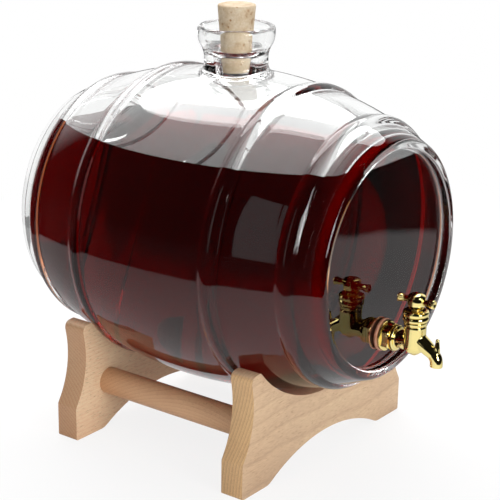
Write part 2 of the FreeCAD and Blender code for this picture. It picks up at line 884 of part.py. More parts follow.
def make_plug_rings():
    """Two seal rings in the plug's grooves, alike, so they share a node."""
    wire = size("ring_wire")
    outer = size("plug_radius")
    rings = []
    for name in ("ring_low", "ring_high"):
        rims = []
        for part, radius in (("outside", outer), ("inside", outer - wire * 2)):
            rim = doc.addObject("Part::Cylinder", f"{name}_{part}")
            rim.setExpression("Radius", radius.formula)
            rim.setExpression("Height", (wire * 2).formula)
            rim.setExpression("Placement.Base.z", (size(name) - wire).formula)
            rims.append(rim)
        ring = doc.addObject("Part::Cut", f"{name}_seal")
        ring.Base, ring.Tool = rims
        rings.append(ring)
    group = doc.addObject("Part::MultiFuse", "plug_o_rings")
    group.Label = "plug_o_rings"
    group.Shapes = rings
    place(group, plug_y, pipe_z)


def make_bonnet():
    """The ring that closes the body round the stem, with a spigot below and a turned groove outside."""
    body = new_body("bonnet_ring", plug_y, pipe_z)
    gap = size("plug_gap")
    outer, step, groove = size("bonnet_radius"), size("bonnet_step"), size("bonnet_groove")
    low, high = size("bonnet_low"), size("bonnet_high")
    waist = (low + high) / 2
    profile = new_sketch(body, "profile", "YZ_Plane")
    outline(
        profile,
        (size("stem_radius") + gap, size("bonnet_spigot_low")),
        (size("plug_radius") - gap, size("bonnet_spigot_low")),
        (size("plug_radius") - gap, low),
        (outer - step, low),
        (outer, low + step),
        (outer, waist - groove),
        (outer - groove, waist),
        (outer, waist + groove),
        (outer, high - step),
        (outer - step, high),
        (size("stem_radius") + gap, high),
    )
    spin(body, profile, "V_Axis")


def make_handle():
    """The handle: a domed hub and two arms that flare to dimpled ends."""
    body = new_body("tap_handle", plug_y, pipe_z + size("handle_height"))
    radius = size("hub_radius")
    dome = cap_radius(radius, size("hub_top") - size("hub_high"))
    hub = new_sketch(body, "hub", "YZ_Plane")
    outline(
        hub,
        (ZERO, -size("hub_low")),
        (size("hub_foot_radius"), -size("hub_low")),
        (radius, -size("hub_shoulder")),
        (radius, size("hub_high")),
        *bend((ZERO, size("hub_top") - dome), dome, arc_sine(radius / dome), UPRIGHT, ROUND_CHORDS + 1),
    )
    spin(body, hub, "V_Axis")
    reach, end, rim = size("arm_reach"), size("arm_end_radius"), size("arm_rim")
    arms = new_sketch(body, "arms", "YZ_Plane")
    for side in (-1, 1):
        outline(
            arms,
            (radius * side / 2, ZERO),
            (radius * side / 2, size("arm_root_radius")),
            (size("arm_flare") * side, size("arm_root_radius")),
            ((reach - rim) * side, end),
            (reach * side, end - rim),
            (reach * side, size("arm_dimple")),
            ((reach - rim) * side, ZERO),
        )
    spin(body, arms, "H_Axis")
    socket = new_sketch(body, "socket", "XY_Plane", -size("hub_low"))
    half = size("drive_width") / 2 + size("plug_gap")
    rectangle(socket, half, half)
    depth = size("drive_high") - size("handle_height") + size("hub_low") + size("washer_gap")
    pocket(body, socket, depth, along_normal=True)


def make_plug_keeper():
    """The washer and the slotted screw that keep the plug in the body from below."""
    top = -(size("body_foot") + size("washer_gap"))
    washer = new_body("plug_washer", plug_y, pipe_z + top)
    profile = new_sketch(washer, "profile", "XY_Plane")
    disc(profile, ZERO, ZERO, size("washer_radius"))
    disc(profile, ZERO, ZERO, size("screw_shank") + size("screw_gap"))
    plate = pad(washer, profile, size("washer_thick"))
    plate.Reversed = True
    doc.recompute()

    head_top = top - size("washer_thick")
    screw = new_body("plug_screw", plug_y, pipe_z + head_top)
    head = size("screw_head")
    dome = cap_radius(size("screw_radius"), head)
    swing = arc_sine(size("screw_radius") / dome)
    profile = new_sketch(screw, "profile", "YZ_Plane")
    outline(
        profile,
        (ZERO, -head),
        *bend((ZERO, dome - head), dome, QUARTER * 2, QUARTER * 2 - swing, ROUND_CHORDS),
        (size("screw_shank"), ZERO),
        (size("screw_shank"), size("screw_length")),
        (ZERO, size("screw_length")),
    )
    spin(screw, profile, "V_Axis")
    slot = new_sketch(screw, "slot", "XY_Plane", -head)
    rectangle(slot, size("screw_radius"), size("slot_width") / 2)
    pocket(screw, slot, size("slot_depth"), along_normal=True)


def check_and_write():
    """Refuse a failed object or a broken shape, then write one file for each sub-part."""
    doc.recompute()
    for item in doc.Objects:
        if "Invalid" in item.State or "Error" in item.State:
            raise RuntimeError(f"{item.Label} failed: {item.State}")
    for node in nodes:
        if node.Shape.isNull() or not node.Shape.isValid():
            raise RuntimeError(f"{node.Label} has no sound shape")
    os.makedirs("parts", exist_ok=True)
    for node in nodes:
        box = node.Shape.BoundBox
        spans = f"{box.XLength:.1f} x {box.YLength:.1f} x {box.ZLength:.1f} mm"
        print(f"{node.Label}: {len(node.Shape.Solids)} solid, {spans}, {node.Shape.Volume / 1000:.2f} cm3")
        node.Shape.exportStep(f"parts/{node.Label}.step")


make_sheet()
half_gap = size("board_gap") / 2
make_cradle("front_cradle", middle_y - half_gap, True)
make_cradle("rear_cradle", middle_y + half_gap + size("board_thick"), False)
make_dowel("left_dowel", -1)
make_dowel("right_dowel", 1)
make_barrel()
make_liquid()
make_cork()
make_gaskets()
make_nuts()
make_tap_body()
make_plug()
make_plug_rings()
make_bonnet()
make_handle()
make_plug_keeper()
check_and_write()
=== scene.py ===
# %% [markdown]
# # A glass barrel for drinks, on its beech cradle
#
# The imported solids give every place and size. This lesson builds the surfaces that the eye meets: clear
# glass with moulded hoops, a dark drink, a cork, a polished tap and sanded beech. Places are in metres,
# as Blender keeps them. Outlines are in millimetres, as a drawing gives them, and are scaled when they
# are built.

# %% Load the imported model
import math

import bmesh
import bpy
from mathutils import Matrix, Vector


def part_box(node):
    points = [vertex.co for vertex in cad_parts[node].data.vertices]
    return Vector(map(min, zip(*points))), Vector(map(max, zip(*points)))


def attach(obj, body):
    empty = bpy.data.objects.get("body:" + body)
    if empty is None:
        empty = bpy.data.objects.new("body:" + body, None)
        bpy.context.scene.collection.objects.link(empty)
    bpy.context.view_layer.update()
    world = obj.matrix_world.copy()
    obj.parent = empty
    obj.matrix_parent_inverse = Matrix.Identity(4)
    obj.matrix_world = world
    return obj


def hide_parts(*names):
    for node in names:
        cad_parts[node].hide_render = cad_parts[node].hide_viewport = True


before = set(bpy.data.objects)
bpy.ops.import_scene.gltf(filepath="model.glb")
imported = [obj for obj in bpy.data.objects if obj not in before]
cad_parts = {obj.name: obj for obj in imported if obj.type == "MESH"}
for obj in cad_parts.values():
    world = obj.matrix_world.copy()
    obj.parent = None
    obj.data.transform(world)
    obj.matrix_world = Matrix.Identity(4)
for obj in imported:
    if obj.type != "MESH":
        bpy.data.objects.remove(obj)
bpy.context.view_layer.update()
MM = 0.001

# %% [markdown]
# ## Places that the pieces share
#
# The barrel lies on its side with its axis from front to back, and the tap's pipe goes through its front
# head. These places could be typed in again, but they are read from the boxes of the solids, so that the
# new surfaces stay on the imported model.

# %% The barrel's centre and the tap's centre
low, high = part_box("glass_barrel")
BELLY = (high.x - low.x) / 2
BARREL = Vector((0, (low.y + high.y) / 2, low.z + BELLY))
low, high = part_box("tap_handle")
PLUG_Y = (low.y + high.y) / 2
low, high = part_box("back_nut")
TAP = Vector((0, PLUG_Y, (low.z + high.z) / 2))
print("barrel centre", BARREL, "tap centre", TAP)

# %% [markdown]
# ## Fine unevenness
#
# Moulded glass and polished metal are never quite flat. The waves could be modelled, but they are too
# shallow for that, so one node group makes a soft height that bends the reflections a little, and a mask
# of faint smears that changes the gloss. A tree of nodes could be joined by hand in the Shader Editor. A
# helper that adds a node and sets its inputs gives the same tree on every run.

# %% The shared surface group
FLOAT, COLOUR, VECTOR = "NodeSocketFloat", "NodeSocketColor", "NodeSocketVector"
WHITE = (1, 1, 1, 1)


def add(tree, kind, values=None, **settings):
    """Add a node, set its properties, then set or link its inputs."""
    node = tree.nodes.new(kind)
    for name, value in settings.items():
        setattr(node, name, value)
    for name, value in (values or {}).items():
        if isinstance(value, bpy.types.NodeSocket):
            tree.links.new(value, node.inputs[name])
        else:
            node.inputs[name].default_value = value
    return node


def new_group(name, inputs, outputs):
    """A shader node group with named sockets. Returns it, what it is given and what it puts out."""
    group = bpy.data.node_groups.new(name, "ShaderNodeTree")
    for label, kind, value in inputs:
        socket = group.interface.new_socket(label, in_out="INPUT", socket_type=kind)
        socket.default_value = value
    for label, kind in outputs:
        group.interface.new_socket(label, in_out="OUTPUT", socket_type=kind)
    return group, group.nodes.new("NodeGroupInput").outputs, group.nodes.new("NodeGroupOutput").inputs


def noise(tree, where, scale, detail, roughness=0.5):
    """The outputs of a Noise Texture node."""
    values = {"Vector": where, "Scale": scale, "Detail": detail, "Roughness": roughness}
    return add(tree, "ShaderNodeTexNoise", values).outputs


uneven, given, out = new_group(
    "soft_unevenness",
    [("Scale", FLOAT, 40.0), ("Smear Scale", FLOAT, 120.0)],
    [("Height", FLOAT), ("Smear", FLOAT)],
)
where = add(uneven, "ShaderNodeTexCoord").outputs["Object"]
uneven.links.new(noise(uneven, where, given["Scale"], detail=1.0)["Fac"], out["Height"])
uneven.links.new(noise(uneven, where, given["Smear Scale"], detail=4.0)["Fac"], out["Smear"])
print("group", uneven.name)

# %% [markdown]
# ## Clear glass
#
# The barrel is blown in a mould from clear glass, which bends light with an index of about 1.5. A glass
# shader alone would keep the lamps' light from what stands behind it, because a bent ray hardly ever
# finds a lamp. So light on its way from a lamp goes straight through, a little dimmed, and every other
# ray is bent.

# %% Clear glass finish
GLASS_INDEX = 1.5


def new_material(name):
    """An empty material, its tree and the inputs of its output node."""
    material = bpy.data.materials.new(name)
    material.use_nodes = True
    tree = material.node_tree
    tree.nodes.clear()
    return material, tree, tree.nodes.new("ShaderNodeOutputMaterial").inputs


def place_group(tree, group, **values):
    """Put a group into a material with its own values. Returns its outputs."""
    node = tree.nodes.new("ShaderNodeGroup")
    node.node_tree = group
    for label, value in values.items():
        node.inputs[label.replace("_", " ")].default_value = value
    return node.outputs


def bump(tree, height, strength, distance):
    """The normal that a Bump node makes of a height. The distance is in metres."""
    values = {"Height": height, "Strength": strength, "Distance": distance}
    return add(tree, "ShaderNodeBump", values).outputs["Normal"]


def mix_shaders(tree, share, first, second):
    """A mix of two shaders, with this share of the second."""
    return add(tree, "ShaderNodeMixShader", {"Fac": share, 1: first, 2: second}).outputs[0]


def let_lamps_through(tree, output, shader, colour):
    """Make a shader the surface, but let light from the lamps straight through in this colour."""
    passing = add(tree, "ShaderNodeBsdfTransparent", {"Color": colour}).outputs[0]
    from_lamp = add(tree, "ShaderNodeLightPath").outputs["Is Shadow Ray"]
    tree.links.new(mix_shaders(tree, from_lamp, shader.outputs[0], passing), output["Surface"])


clear_glass, tree, output = new_material("clear_glass")
surface = place_group(tree, uneven, Scale=22.0, Smear_Scale=160.0)
shader = add(tree, "ShaderNodeBsdfPrincipled", {
    "Base Color": (0.985, 0.992, 0.988, 1),
    "Roughness": 0.0,
    "IOR": GLASS_INDEX,
    "Transmission Weight": 1.0,
    "Normal": bump(tree, surface["Height"], strength=0.05, distance=0.004),
})
let_lamps_through(tree, output, shader, (0.94, 0.95, 0.945, 1))
print("made", clear_glass.name)

# %% [markdown]
# ## Wet glass
#
# Below its level the drink touches the wall, so on the real barrel light meets one border there. Here it
# meets two skins, the inside of the wall and the drink's own. They could be made one mesh, but then the
# drink would be no piece of its own. An index of 1 bends nothing, so the wet wall gets that and leaves
# the bending to the drink.

# %% Wet glass finish
wet_glass, tree, output = new_material("wet_glass")
shader = add(tree, "ShaderNodeBsdfPrincipled", {
    "Base Color": WHITE,
    "Roughness": 0.0,
    "IOR": 1.0,
    "Transmission Weight": 1.0,
})
let_lamps_through(tree, output, shader, WHITE)
print("made", wet_glass.name)

# %% [markdown]
# ## The drink's colour
#
# The drink is clear, and its colour comes from depth alone: a thin edge glows amber, and the full barrel
# is nearly black. A dark surface would lose that glow, so a volume takes up the light on its way through.
# At the sides light comes to the drink from glass, and at the flat top from air, so the index differs
# there.

# %% Dark drink finish
DRINK_INDEX = 1.34
LEVEL = 66.0
TOP_SKIN = 0.02


def calculate(tree, operation, *values):
    """The result of a Math node."""
    return add(tree, "ShaderNodeMath", dict(enumerate(values)), operation=operation).outputs[0]


def stretch(tree, value, start, end, first=0.0, last=1.0):
    """A result that goes from first to last while the value goes from start to end."""
    values = {"Value": value, "From Min": start, "From Max": end, "To Min": first, "To Max": last}
    return add(tree, "ShaderNodeMapRange", values).outputs[0]


dark_drink, tree, output = new_material("dark_drink")
where = add(tree, "ShaderNodeTexCoord").outputs["Object"]
height = add(tree, "ShaderNodeSeparateXYZ", {0: where}).outputs["Z"]
on_top = calculate(tree, "GREATER_THAN", height, BARREL.z + (LEVEL - TOP_SKIN) * MM)
shader = add(tree, "ShaderNodeBsdfPrincipled", {
    "Base Color": WHITE,
    "Roughness": 0.0,
    "IOR": stretch(tree, on_top, 0.0, 1.0, DRINK_INDEX / GLASS_INDEX, DRINK_INDEX),
    "Transmission Weight": 1.0,
})
depth = add(tree, "ShaderNodeVolumeAbsorption", {"Color": (0.943, 0.54, 0.04, 1), "Density": 270.0})
tree.links.new(shader.outputs[0], output["Surface"])
tree.links.new(depth.outputs[0], output["Volume"])
print("made", dark_drink.name)

# %% [markdown]
# ## The barrel's outline
#
# A mould gives the glass its shape: staves that bulge on one long arc, four hoops with soft roots, a
# chime at each end and flat heads set back behind it. A cylinder could be pulled into that shape by eye.
# An outline of arcs, with the distance along the axis first and the radius second, keeps every round
# true.

# %% Sizes of the glass
BELLY_MM = BELLY / MM
STAVE = 309.1
CENTRE = BELLY_MM - STAVE
HALF_LENGTH = 134.6
HEAD_FACE = 129.0
HEAD_INSIDE = 122.0
HEAD_ROUND = 1.2
CHIME_INSIDE = 76.5
CHIME_ROUND = 4.4
CHIME_LIP = 1.5
WALL = 6.5
INSIDE_ROUND = 8.0
HOOPS = (110.8, 58.7)
HOOP_HALF = 6.5
HOOP_RISE = 2.6
HOOP_ROOT = 2.0
STEP = 3.0
INSIDE_STEP = 6.0
PATCH = 36.0
print("the staves' arc is centred", round(-CENTRE, 1), "mm past the barrel's axis")

# %% Arcs
TURN = 2 * math.pi


def arc(centre, radius, first, last, steps):
    """Points on an arc between two angles, in degrees from the first axis towards the second."""
    points = []
    for number in range(steps + 1):
        angle = math.radians(first + (last - first) * number / steps)
        points.append((centre[0] + radius * math.cos(angle), centre[1] + radius * math.sin(angle)))
    return points


def short_arc(centre, start, end, steps):
    """Points on an arc about a centre from start to end, the shorter way round."""
    first, last = (math.atan2(spot[1] - centre[1], spot[0] - centre[0]) for spot in (start, end))
    swing = math.remainder(last - first, TURN)
    return arc(centre, math.dist(centre, start), math.degrees(first), math.degrees(first + swing), steps)


print("a quarter arc has points", arc((0, 0), 1, 0, 90, 2))


# %% Staves and hoops
def on_staves(radius, angle):
    """A point (y, r) of a circle about the staves' centre, at an angle from the middle."""
    return radius * math.sin(angle), CENTRE + radius * math.cos(angle)


def stave_run(first, last):
    """Points along the staves' arc between two angles, without its ends."""
    steps = max(2, round(abs(last - first) * STAVE / STEP))
    return [on_staves(STAVE, first + (last - first) * k / steps) for k in range(1, steps)]


def hoop_line(place):
    """A hoop's outline from its outer side to its inner side, and its two angles on the staves."""
    bead = (HOOP_HALF ** 2 + HOOP_RISE ** 2) / (2 * HOOP_RISE)
    reach = STAVE + HOOP_RISE - bead
    outer = STAVE + HOOP_ROOT
    middle = math.asin(place / STAVE)
    swing = math.acos((reach ** 2 + outer ** 2 - (bead + HOOP_ROOT) ** 2) / (2 * reach * outer))
    centre = Vector(on_staves(reach, middle))
    sides = (middle + swing, middle - swing)
    roots = [Vector(on_staves(outer, angle)) for angle in sides]
    feet = [on_staves(STAVE, angle) for angle in sides]
    tips = [centre.lerp(root, bead / (bead + HOOP_ROOT)) for root in roots]
    line = short_arc(roots[0], feet[0], tips[0], 4)
    line += short_arc(centre, tips[0], tips[1], 14)[1:-1]
    line += short_arc(roots[1], tips[1], feet[1], 4)
    return line, *sides


print("a hoop has", len(hoop_line(HOOPS[0])[0]), "points")


# %% The outside and the inside
def rounded_end(stave, end, bend, steps):
    """A rounded corner from a flat end onto the staves' arc, and its angle there."""
    across = end - bend
    up = CENTRE + math.sqrt((stave - bend) ** 2 - across ** 2)
    angle = math.asin(across / (stave - bend))
    return arc((across, up), bend, 0, 90 - math.degrees(angle), steps), angle


def outer_side():
    """Half the outside, from the head to the edge of the neck's patch, as (y, r)."""
    points = arc((HEAD_FACE + HEAD_ROUND, CHIME_INSIDE - HEAD_ROUND), HEAD_ROUND, 180, 90, 4)
    points += arc((HALF_LENGTH - CHIME_LIP, CHIME_INSIDE + CHIME_LIP), CHIME_LIP, -90, 0, 5)
    corner, angle = rounded_end(STAVE, HALF_LENGTH, CHIME_ROUND, 9)
    points += corner
    for place in HOOPS:
        line, leave, meet = hoop_line(place)
        points += stave_run(angle, leave) + line
        angle = meet
    return points + stave_run(angle, math.asin(PATCH / STAVE))


def inner_side():
    """Half the inside, from the head to the edge of the neck's patch, as (y, r)."""
    wall = STAVE - WALL
    points, angle = rounded_end(wall, HEAD_INSIDE, INSIDE_ROUND, 9)
    last = math.asin(PATCH / wall)
    steps = round((angle - last) * wall / INSIDE_STEP)
    return points + [on_staves(wall, angle + (last - angle) * k / steps) for k in range(1, steps)]


def patch_rows(radius):
    """The evenly spaced rows across the neck's patch."""
    count = 2 * round(PATCH / STEP)
    edges = [PATCH - 2 * PATCH * k / count for k in range(count + 1)]
    return [(y, CENTRE + math.sqrt(radius ** 2 - y ** 2)) for y in edges]


print("outside has", len(outer_side()), "points on each side")

# %% [markdown]
# ## The neck's outline
#
# The neck flares to a thick lip and holds a cup that narrows to the bore, where the cork sits. It could
# be drawn from arcs as well, but its lines run into each other so softly that a Catmull-Rom curve through
# a few key points, radius first and then height above the barrel's axis, is simpler and closer.

# %% The neck
NECK = 22.6
NECK_ROOT = 5.5
BORE = 10.0
BORE_ROOT = 1.5


def smooth_line(keys, steps):
    """A smooth line through key points, with this many steps between each pair."""
    ends = [keys[0], *keys, keys[-1]]
    points = []
    for before, start, end, after in zip(ends, ends[1:], ends[2:], ends[3:]):
        for number in range(steps):
            t = number / steps
            point = []
            for p0, p1, p2, p3 in zip(before, start, end, after):
                bend = 2 * p0 - 5 * p1 + 4 * p2 - p3
                twist = 3 * p1 - p0 - 3 * p2 + p3
                point.append(0.5 * (2 * p1 + (p2 - p0) * t + bend * t * t + twist * t ** 3))
            points.append(tuple(point))
    return points + [keys[-1]]


NECK_OUTSIDE = [
    (NECK, 121.0), (NECK, 123.5), (23.1, 126.6), (24.4, 130.2), (26.0, 133.0), (26.9, 136.0), (27.3, 140.0),
    (27.2, 143.0), (26.2, 144.6), (25.0, 144.8),
]
NECK_INSIDE = [
    (23.8, 144.4), (23.0, 143.0), (22.5, 140.0), (21.9, 136.5), (20.7, 133.0), (18.6, 129.4), (15.6, 126.8),
    (12.8, 125.6), (11.3, 125.0), (10.8, 123.8), (10.5, 120.0), (10.1, 115.5),
]
NECK_LINE = smooth_line(NECK_OUTSIDE + NECK_INSIDE, 4)
print("the neck has", len(NECK_LINE), "rings")

# %% [markdown]
# ## The glass barrel
#
# On the real barrel the neck grows out of the belly in one piece. A neck joined to the barrel by a
# Boolean would leave a hard seam that clear glass shows at once. So the barrel is turned with a patch
# left open at its top, and rings flow from the patch's edge into the neck, over the lip, down the cup and
# through the bore to the inside. The glass is then one closed skin.

# %% Turn the barrel, with an open patch
SIDES = 240
PATCH_SIDE = 12


def round_steps(sides):
    """The angles of this many points round a circle."""
    return [TURN * number / sides for number in range(sides)]


def join_rings(bm, ring, after):
    """Make faces between two rings of as many points."""
    for number in range(len(ring)):
        step = (number + 1) % len(ring)
        bm.faces.new((ring[number], ring[step], after[step], after[number]))


def barrel_skin(bm, side, radius):
    """Turn one side of the glass, with a hole for the patch. Returns its end rings and the patch's edge."""
    rows = patch_rows(radius)
    profile = side + rows + [(-y, r) for y, r in reversed(side)]
    first = len(side)
    last = first + len(rows) - 1
    grid = []
    for y, r in profile:
        spots = [Vector((r * math.sin(a), y, r * math.cos(a))) for a in round_steps(SIDES)]
        grid.append([bm.verts.new(BARREL + spot * MM) for spot in spots])
    for row in range(len(grid) - 1):
        for number in range(SIDES):
            in_patch = number < PATCH_SIDE or number >= SIDES - PATCH_SIDE
            if first <= row < last and in_patch:
                continue
            step = (number + 1) % SIDES
            bm.faces.new((grid[row][number], grid[row][step], grid[row + 1][step], grid[row + 1][number]))
    for row in range(first + 1, last):
        for number in range(-PATCH_SIDE + 1, PATCH_SIDE):
            bm.verts.remove(grid[row][number])
    span = range(-PATCH_SIDE, PATCH_SIDE + 1)
    edge = [grid[first][number] for number in span]
    edge += [grid[row][PATCH_SIDE] for row in range(first + 1, last + 1)]
    edge += [grid[last][number] for number in reversed(span)][1:]
    edge += [grid[row][-PATCH_SIDE] for row in range(last - 1, first, -1)]
    return grid[0], grid[-1], edge


print("the barrel has", SIDES, "sides")

# %% Rings from the patch to the neck
PATCH_RINGS = 8
PATCH_EASE = 1.4


def lift(radius, spot):
    """The height of a skin, whose staves have this radius, over a spot of its plan."""
    across = CENTRE + math.sqrt(radius ** 2 - spot.y ** 2)
    return math.sqrt(across ** 2 - spot.x ** 2)


def ring_to(bm, before, spots):
    """Add a ring of points and join it to the ring before."""
    ring = [bm.verts.new(BARREL + Vector(spot) * MM) for spot in spots]
    join_rings(bm, before, ring)
    return ring


def patch_to(bm, edge, radius, hole, bend):
    """Fill a patch with rings that close on a round hole and then turn up on a bend."""
    plan = [((vert.co - BARREL) / MM).to_2d() for vert in edge]
    headings = [spot.normalized() for spot in plan]
    ring = edge
    for number in range(1, PATCH_RINGS + 1):
        share = 1 - (1 - number / PATCH_RINGS) ** PATCH_EASE
        spots = [spot.lerp(heading * (hole + bend), share) for spot, heading in zip(plan, headings)]
        ring = ring_to(bm, ring, [(*spot, lift(radius, spot)) for spot in spots])
    for number in range(1, PATCH_RINGS + 1):
        turn = math.pi / 2 * number / PATCH_RINGS
        rise = bend * (1 - math.cos(turn))
        spots = [heading * (hole + bend * (1 - math.sin(turn))) for heading in headings]
        ring = ring_to(bm, ring, [(*spot, lift(radius, spot) + rise) for spot in spots])
    return ring, headings


print("the patch closes in", 2 * PATCH_RINGS, "rings")

# %% Heads and the tap hole
HEAD_INSET = 0.99
TAP_HOLE = 6.3
HOLE_SIDES = 48


def set_in(bm, ring):
    """A ring just inside a head's edge, so that the head shades as flat glass."""
    spots = [(vert.co - BARREL) / MM for vert in ring]
    return ring_to(bm, ring, [(spot.x * HEAD_INSET, spot.y, spot.z * HEAD_INSET) for spot in spots])


def tap_ring(bm, y):
    """The edge of the tap hole, at a distance along the barrel."""
    centre = Vector((0, BARREL.y + y * MM, TAP.z))
    spots = [Vector((math.sin(a), 0, math.cos(a))) * TAP_HOLE for a in round_steps(HOLE_SIDES)]
    return [bm.verts.new(centre + spot * MM) for spot in spots]


def fill_flat(bm, *loops):
    """Fill a flat face inside the first loop of points and outside the others."""
    edges = []
    for loop in loops:
        for number in range(len(loop)):
            pair = (loop[number], loop[(number + 1) % len(loop)])
            edges.append(bm.edges.get(pair) or bm.edges.new(pair))
    bmesh.ops.triangle_fill(bm, use_beauty=True, use_dissolve=False, edges=edges)


print("the tap hole is", 2 * TAP_HOLE, "mm across")


# %% One closed skin
def finish_mesh(bm, name, sharp=40):
    """Turn a bmesh into an object whose faces shade smoothly up to this angle, in degrees."""
    bmesh.ops.recalc_face_normals(bm, faces=bm.faces)
    mesh = bpy.data.meshes.new(name)
    bm.to_mesh(mesh)
    bm.free()
    mesh.shade_smooth()
    mesh.set_sharp_from_angle(angle=math.radians(sharp))
    piece = bpy.data.objects.new(name, mesh)
    bpy.context.scene.collection.objects.link(piece)
    return piece


def dress(piece, body, material, node):
    """Give a piece its body, slot and finish, and hide the solid that it stands for."""
    piece.data.materials.append(material)
    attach(piece, body)
    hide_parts(node)
    print(piece.name, "has", len(piece.data.polygons), "faces")
    return piece


def build_glass():
    """The outside, the inside, the neck that joins them and the heads."""
    bm = bmesh.new()
    back, front, edge = barrel_skin(bm, outer_side(), STAVE)
    inner_back, inner_front, inner_edge = barrel_skin(bm, inner_side(), STAVE - WALL)
    ring, headings = patch_to(bm, edge, STAVE, NECK, NECK_ROOT)
    for radius, height in NECK_LINE:
        ring = ring_to(bm, ring, [(*(heading * radius), height) for heading in headings])
    inner_ring, _ = patch_to(bm, inner_edge, STAVE - WALL, BORE, BORE_ROOT)
    join_rings(bm, ring, inner_ring)
    hole = tap_ring(bm, -HEAD_FACE)
    inner_hole = tap_ring(bm, -HEAD_INSIDE)
    join_rings(bm, hole, inner_hole)
    fill_flat(bm, set_in(bm, back))
    fill_flat(bm, set_in(bm, inner_back))
    fill_flat(bm, set_in(bm, front), hole)
    fill_flat(bm, set_in(bm, inner_front), inner_hole)
    return finish_mesh(bm, "glass_skin", 60)


glass = dress(build_glass(), "barrel", clear_glass, "glass_barrel")

# %% The wet part of the inside
INSIDE_REACH = HEAD_INSIDE + 1.0


def wet_inside(piece):
    """Cut the inner faces at the drink's level, and give those below it the second finish."""
    bm = bmesh.new()
    bm.from_mesh(piece.data)
    level = BARREL.z + LEVEL * MM
    inside = [face for face in bm.faces if (face.calc_center_median() - BARREL).dot(face.normal) < 0]
    parts = set(inside)
    for face in inside:
        parts.update(face.verts)
        parts.update(face.edges)
    bmesh.ops.bisect_plane(bm, geom=list(parts), plane_co=(0, 0, level), plane_no=(0, 0, 1))
    for face in bm.faces:
        middle = face.calc_center_median()
        out = middle - BARREL
        if out.dot(face.normal) < 0 and middle.z < level and abs(out.y) < INSIDE_REACH * MM:
            face.material_index = 1
    bm.to_mesh(piece.data)
    bm.free()
    piece.data.materials.append(wet_glass)
    print("wet faces:", sum(face.material_index for face in piece.data.polygons))


wet_inside(glass)

# %% [markdown]
# ## The drink
#
# The drink lies against the glass with no air between, under a still, flat surface. A copy of the inside
# of the glass would put two skins on one spot, which flicker. So it is turned from the same line, but
# reaches a hair into the wall, and is cut flat at its level.

# %% Fill the barrel
SOAK = 0.15
DRINK_STEPS = 60


def turned(bm, profile, place, axis="Z", segments=96):
    """Sweep (radius, height) points, in millimetres, round an axis through place."""
    rings = []
    for radius, height in profile:
        ring = []
        for angle in round_steps(segments) if radius else [0]:
            u, v = radius * math.sin(angle), radius * math.cos(angle)
            local = (u, v, height) if axis == "Z" else (u, height, v)
            ring.append(bm.verts.new(place + Vector(local) * MM))
        rings.append(ring)
    for ring, after in zip(rings, rings[1:]):
        for number in range(segments):
            step = (number + 1) % segments
            corners = [ring[number % len(ring)], ring[step % len(ring)]]
            corners += [after[step % len(after)], after[number % len(after)]]
            corners = list(dict.fromkeys(corners))
            if len(corners) > 2:
                bm.faces.new(corners)


def build_drink():
    """The barrel's inner line, turned and cut flat."""
    bm = bmesh.new()
    wall = STAVE - WALL + SOAK
    corner, angle = rounded_end(wall, HEAD_INSIDE + SOAK, INSIDE_ROUND, 8)
    staves = [on_staves(wall, angle - 2 * angle * k / DRINK_STEPS) for k in range(1, DRINK_STEPS)]
    line = corner + staves + [(-y, r) for y, r in reversed(corner)]
    end, edge = line[0]
    rim = edge * HEAD_INSET
    profile = [(0, end), (rim, end), *((r, y) for y, r in line), (rim, -end), (0, -end)]
    turned(bm, profile, BARREL, "Y", 180)
    parts = list(bm.verts) + list(bm.edges) + list(bm.faces)
    level = BARREL + Vector((0, 0, LEVEL)) * MM
    cut = bmesh.ops.bisect_plane(bm, geom=parts, plane_co=level, plane_no=(0, 0, 1), clear_outer=True)
    edges = [item for item in cut["geom_cut"] if isinstance(item, bmesh.types.BMEdge)]
    bmesh.ops.holes_fill(bm, edges=edges, sides=0)
    return finish_mesh(bm, "drink_body", 35)


dress(build_drink(), "barrel", dark_drink, "liquid_fill")

# %% [markdown]
# ## Cork bark
#
# Cork is pale bark with brown pits and short cracks. A picture of cork could be wrapped round it, but
# noise in the object's own space goes through it as bark does, with no seam. The pits are darker and
# lower than the rest.

# %% Cork finish
def ramp(tree, factor, stops):
    """A colour ramp through (place, colour) stops."""
    node = add(tree, "ShaderNodeValToRGB", {"Fac": factor})
    while len(node.color_ramp.elements) < len(stops):
        node.color_ramp.elements.new(0.5)
    for element, (place, colour) in zip(node.color_ramp.elements, stops):
        element.position = place
        element.color = (*colour, 1)
    return node.outputs["Color"]


def blend(tree, share, one, two, way="MIX"):
    """A mix of two colours, with this share of the second."""
    values = {"Factor": share, "A": one, "B": two}
    return add(tree, "ShaderNodeMix", values, data_type="RGBA", blend_type=way).outputs["Result"]


def cover(tree, output, values):
    """Make a Principled BSDF with these values the surface."""
    shader = add(tree, "ShaderNodeBsdfPrincipled", values)
    tree.links.new(shader.outputs[0], output["Surface"])


cork_bark, tree, output = new_material("cork_bark")
where = add(tree, "ShaderNodeTexCoord").outputs["Object"]
cells = noise(tree, where, 900.0, detail=3.0)["Fac"]
patches = noise(tree, where, 160.0, detail=4.0, roughness=0.6)["Fac"]
spots = add(tree, "ShaderNodeTexVoronoi", {"Vector": where, "Scale": 190.0, "Randomness": 1.0})
pits = ramp(tree, spots.outputs["Distance"], [(0.06, (1, 1, 1)), (0.20, (0, 0, 0))])
bark = ramp(tree, patches, [
    (0.30, (0.33, 0.19, 0.09)),
    (0.38, (0.51, 0.38, 0.245)),
    (0.55, (0.585, 0.47, 0.33)),
    (0.75, (0.63, 0.54, 0.40)),
])
grain = blend(tree, 0.25, bark, cells, "OVERLAY")
height = calculate(tree, "SUBTRACT", cells, pits)
cover(tree, output, {
    "Base Color": blend(tree, pits, grain, (0.34, 0.17, 0.06, 1)),
    "Roughness": 0.85,
    "Normal": bump(tree, height, strength=0.5, distance=0.0006),
})
print("made", cork_bark.name)

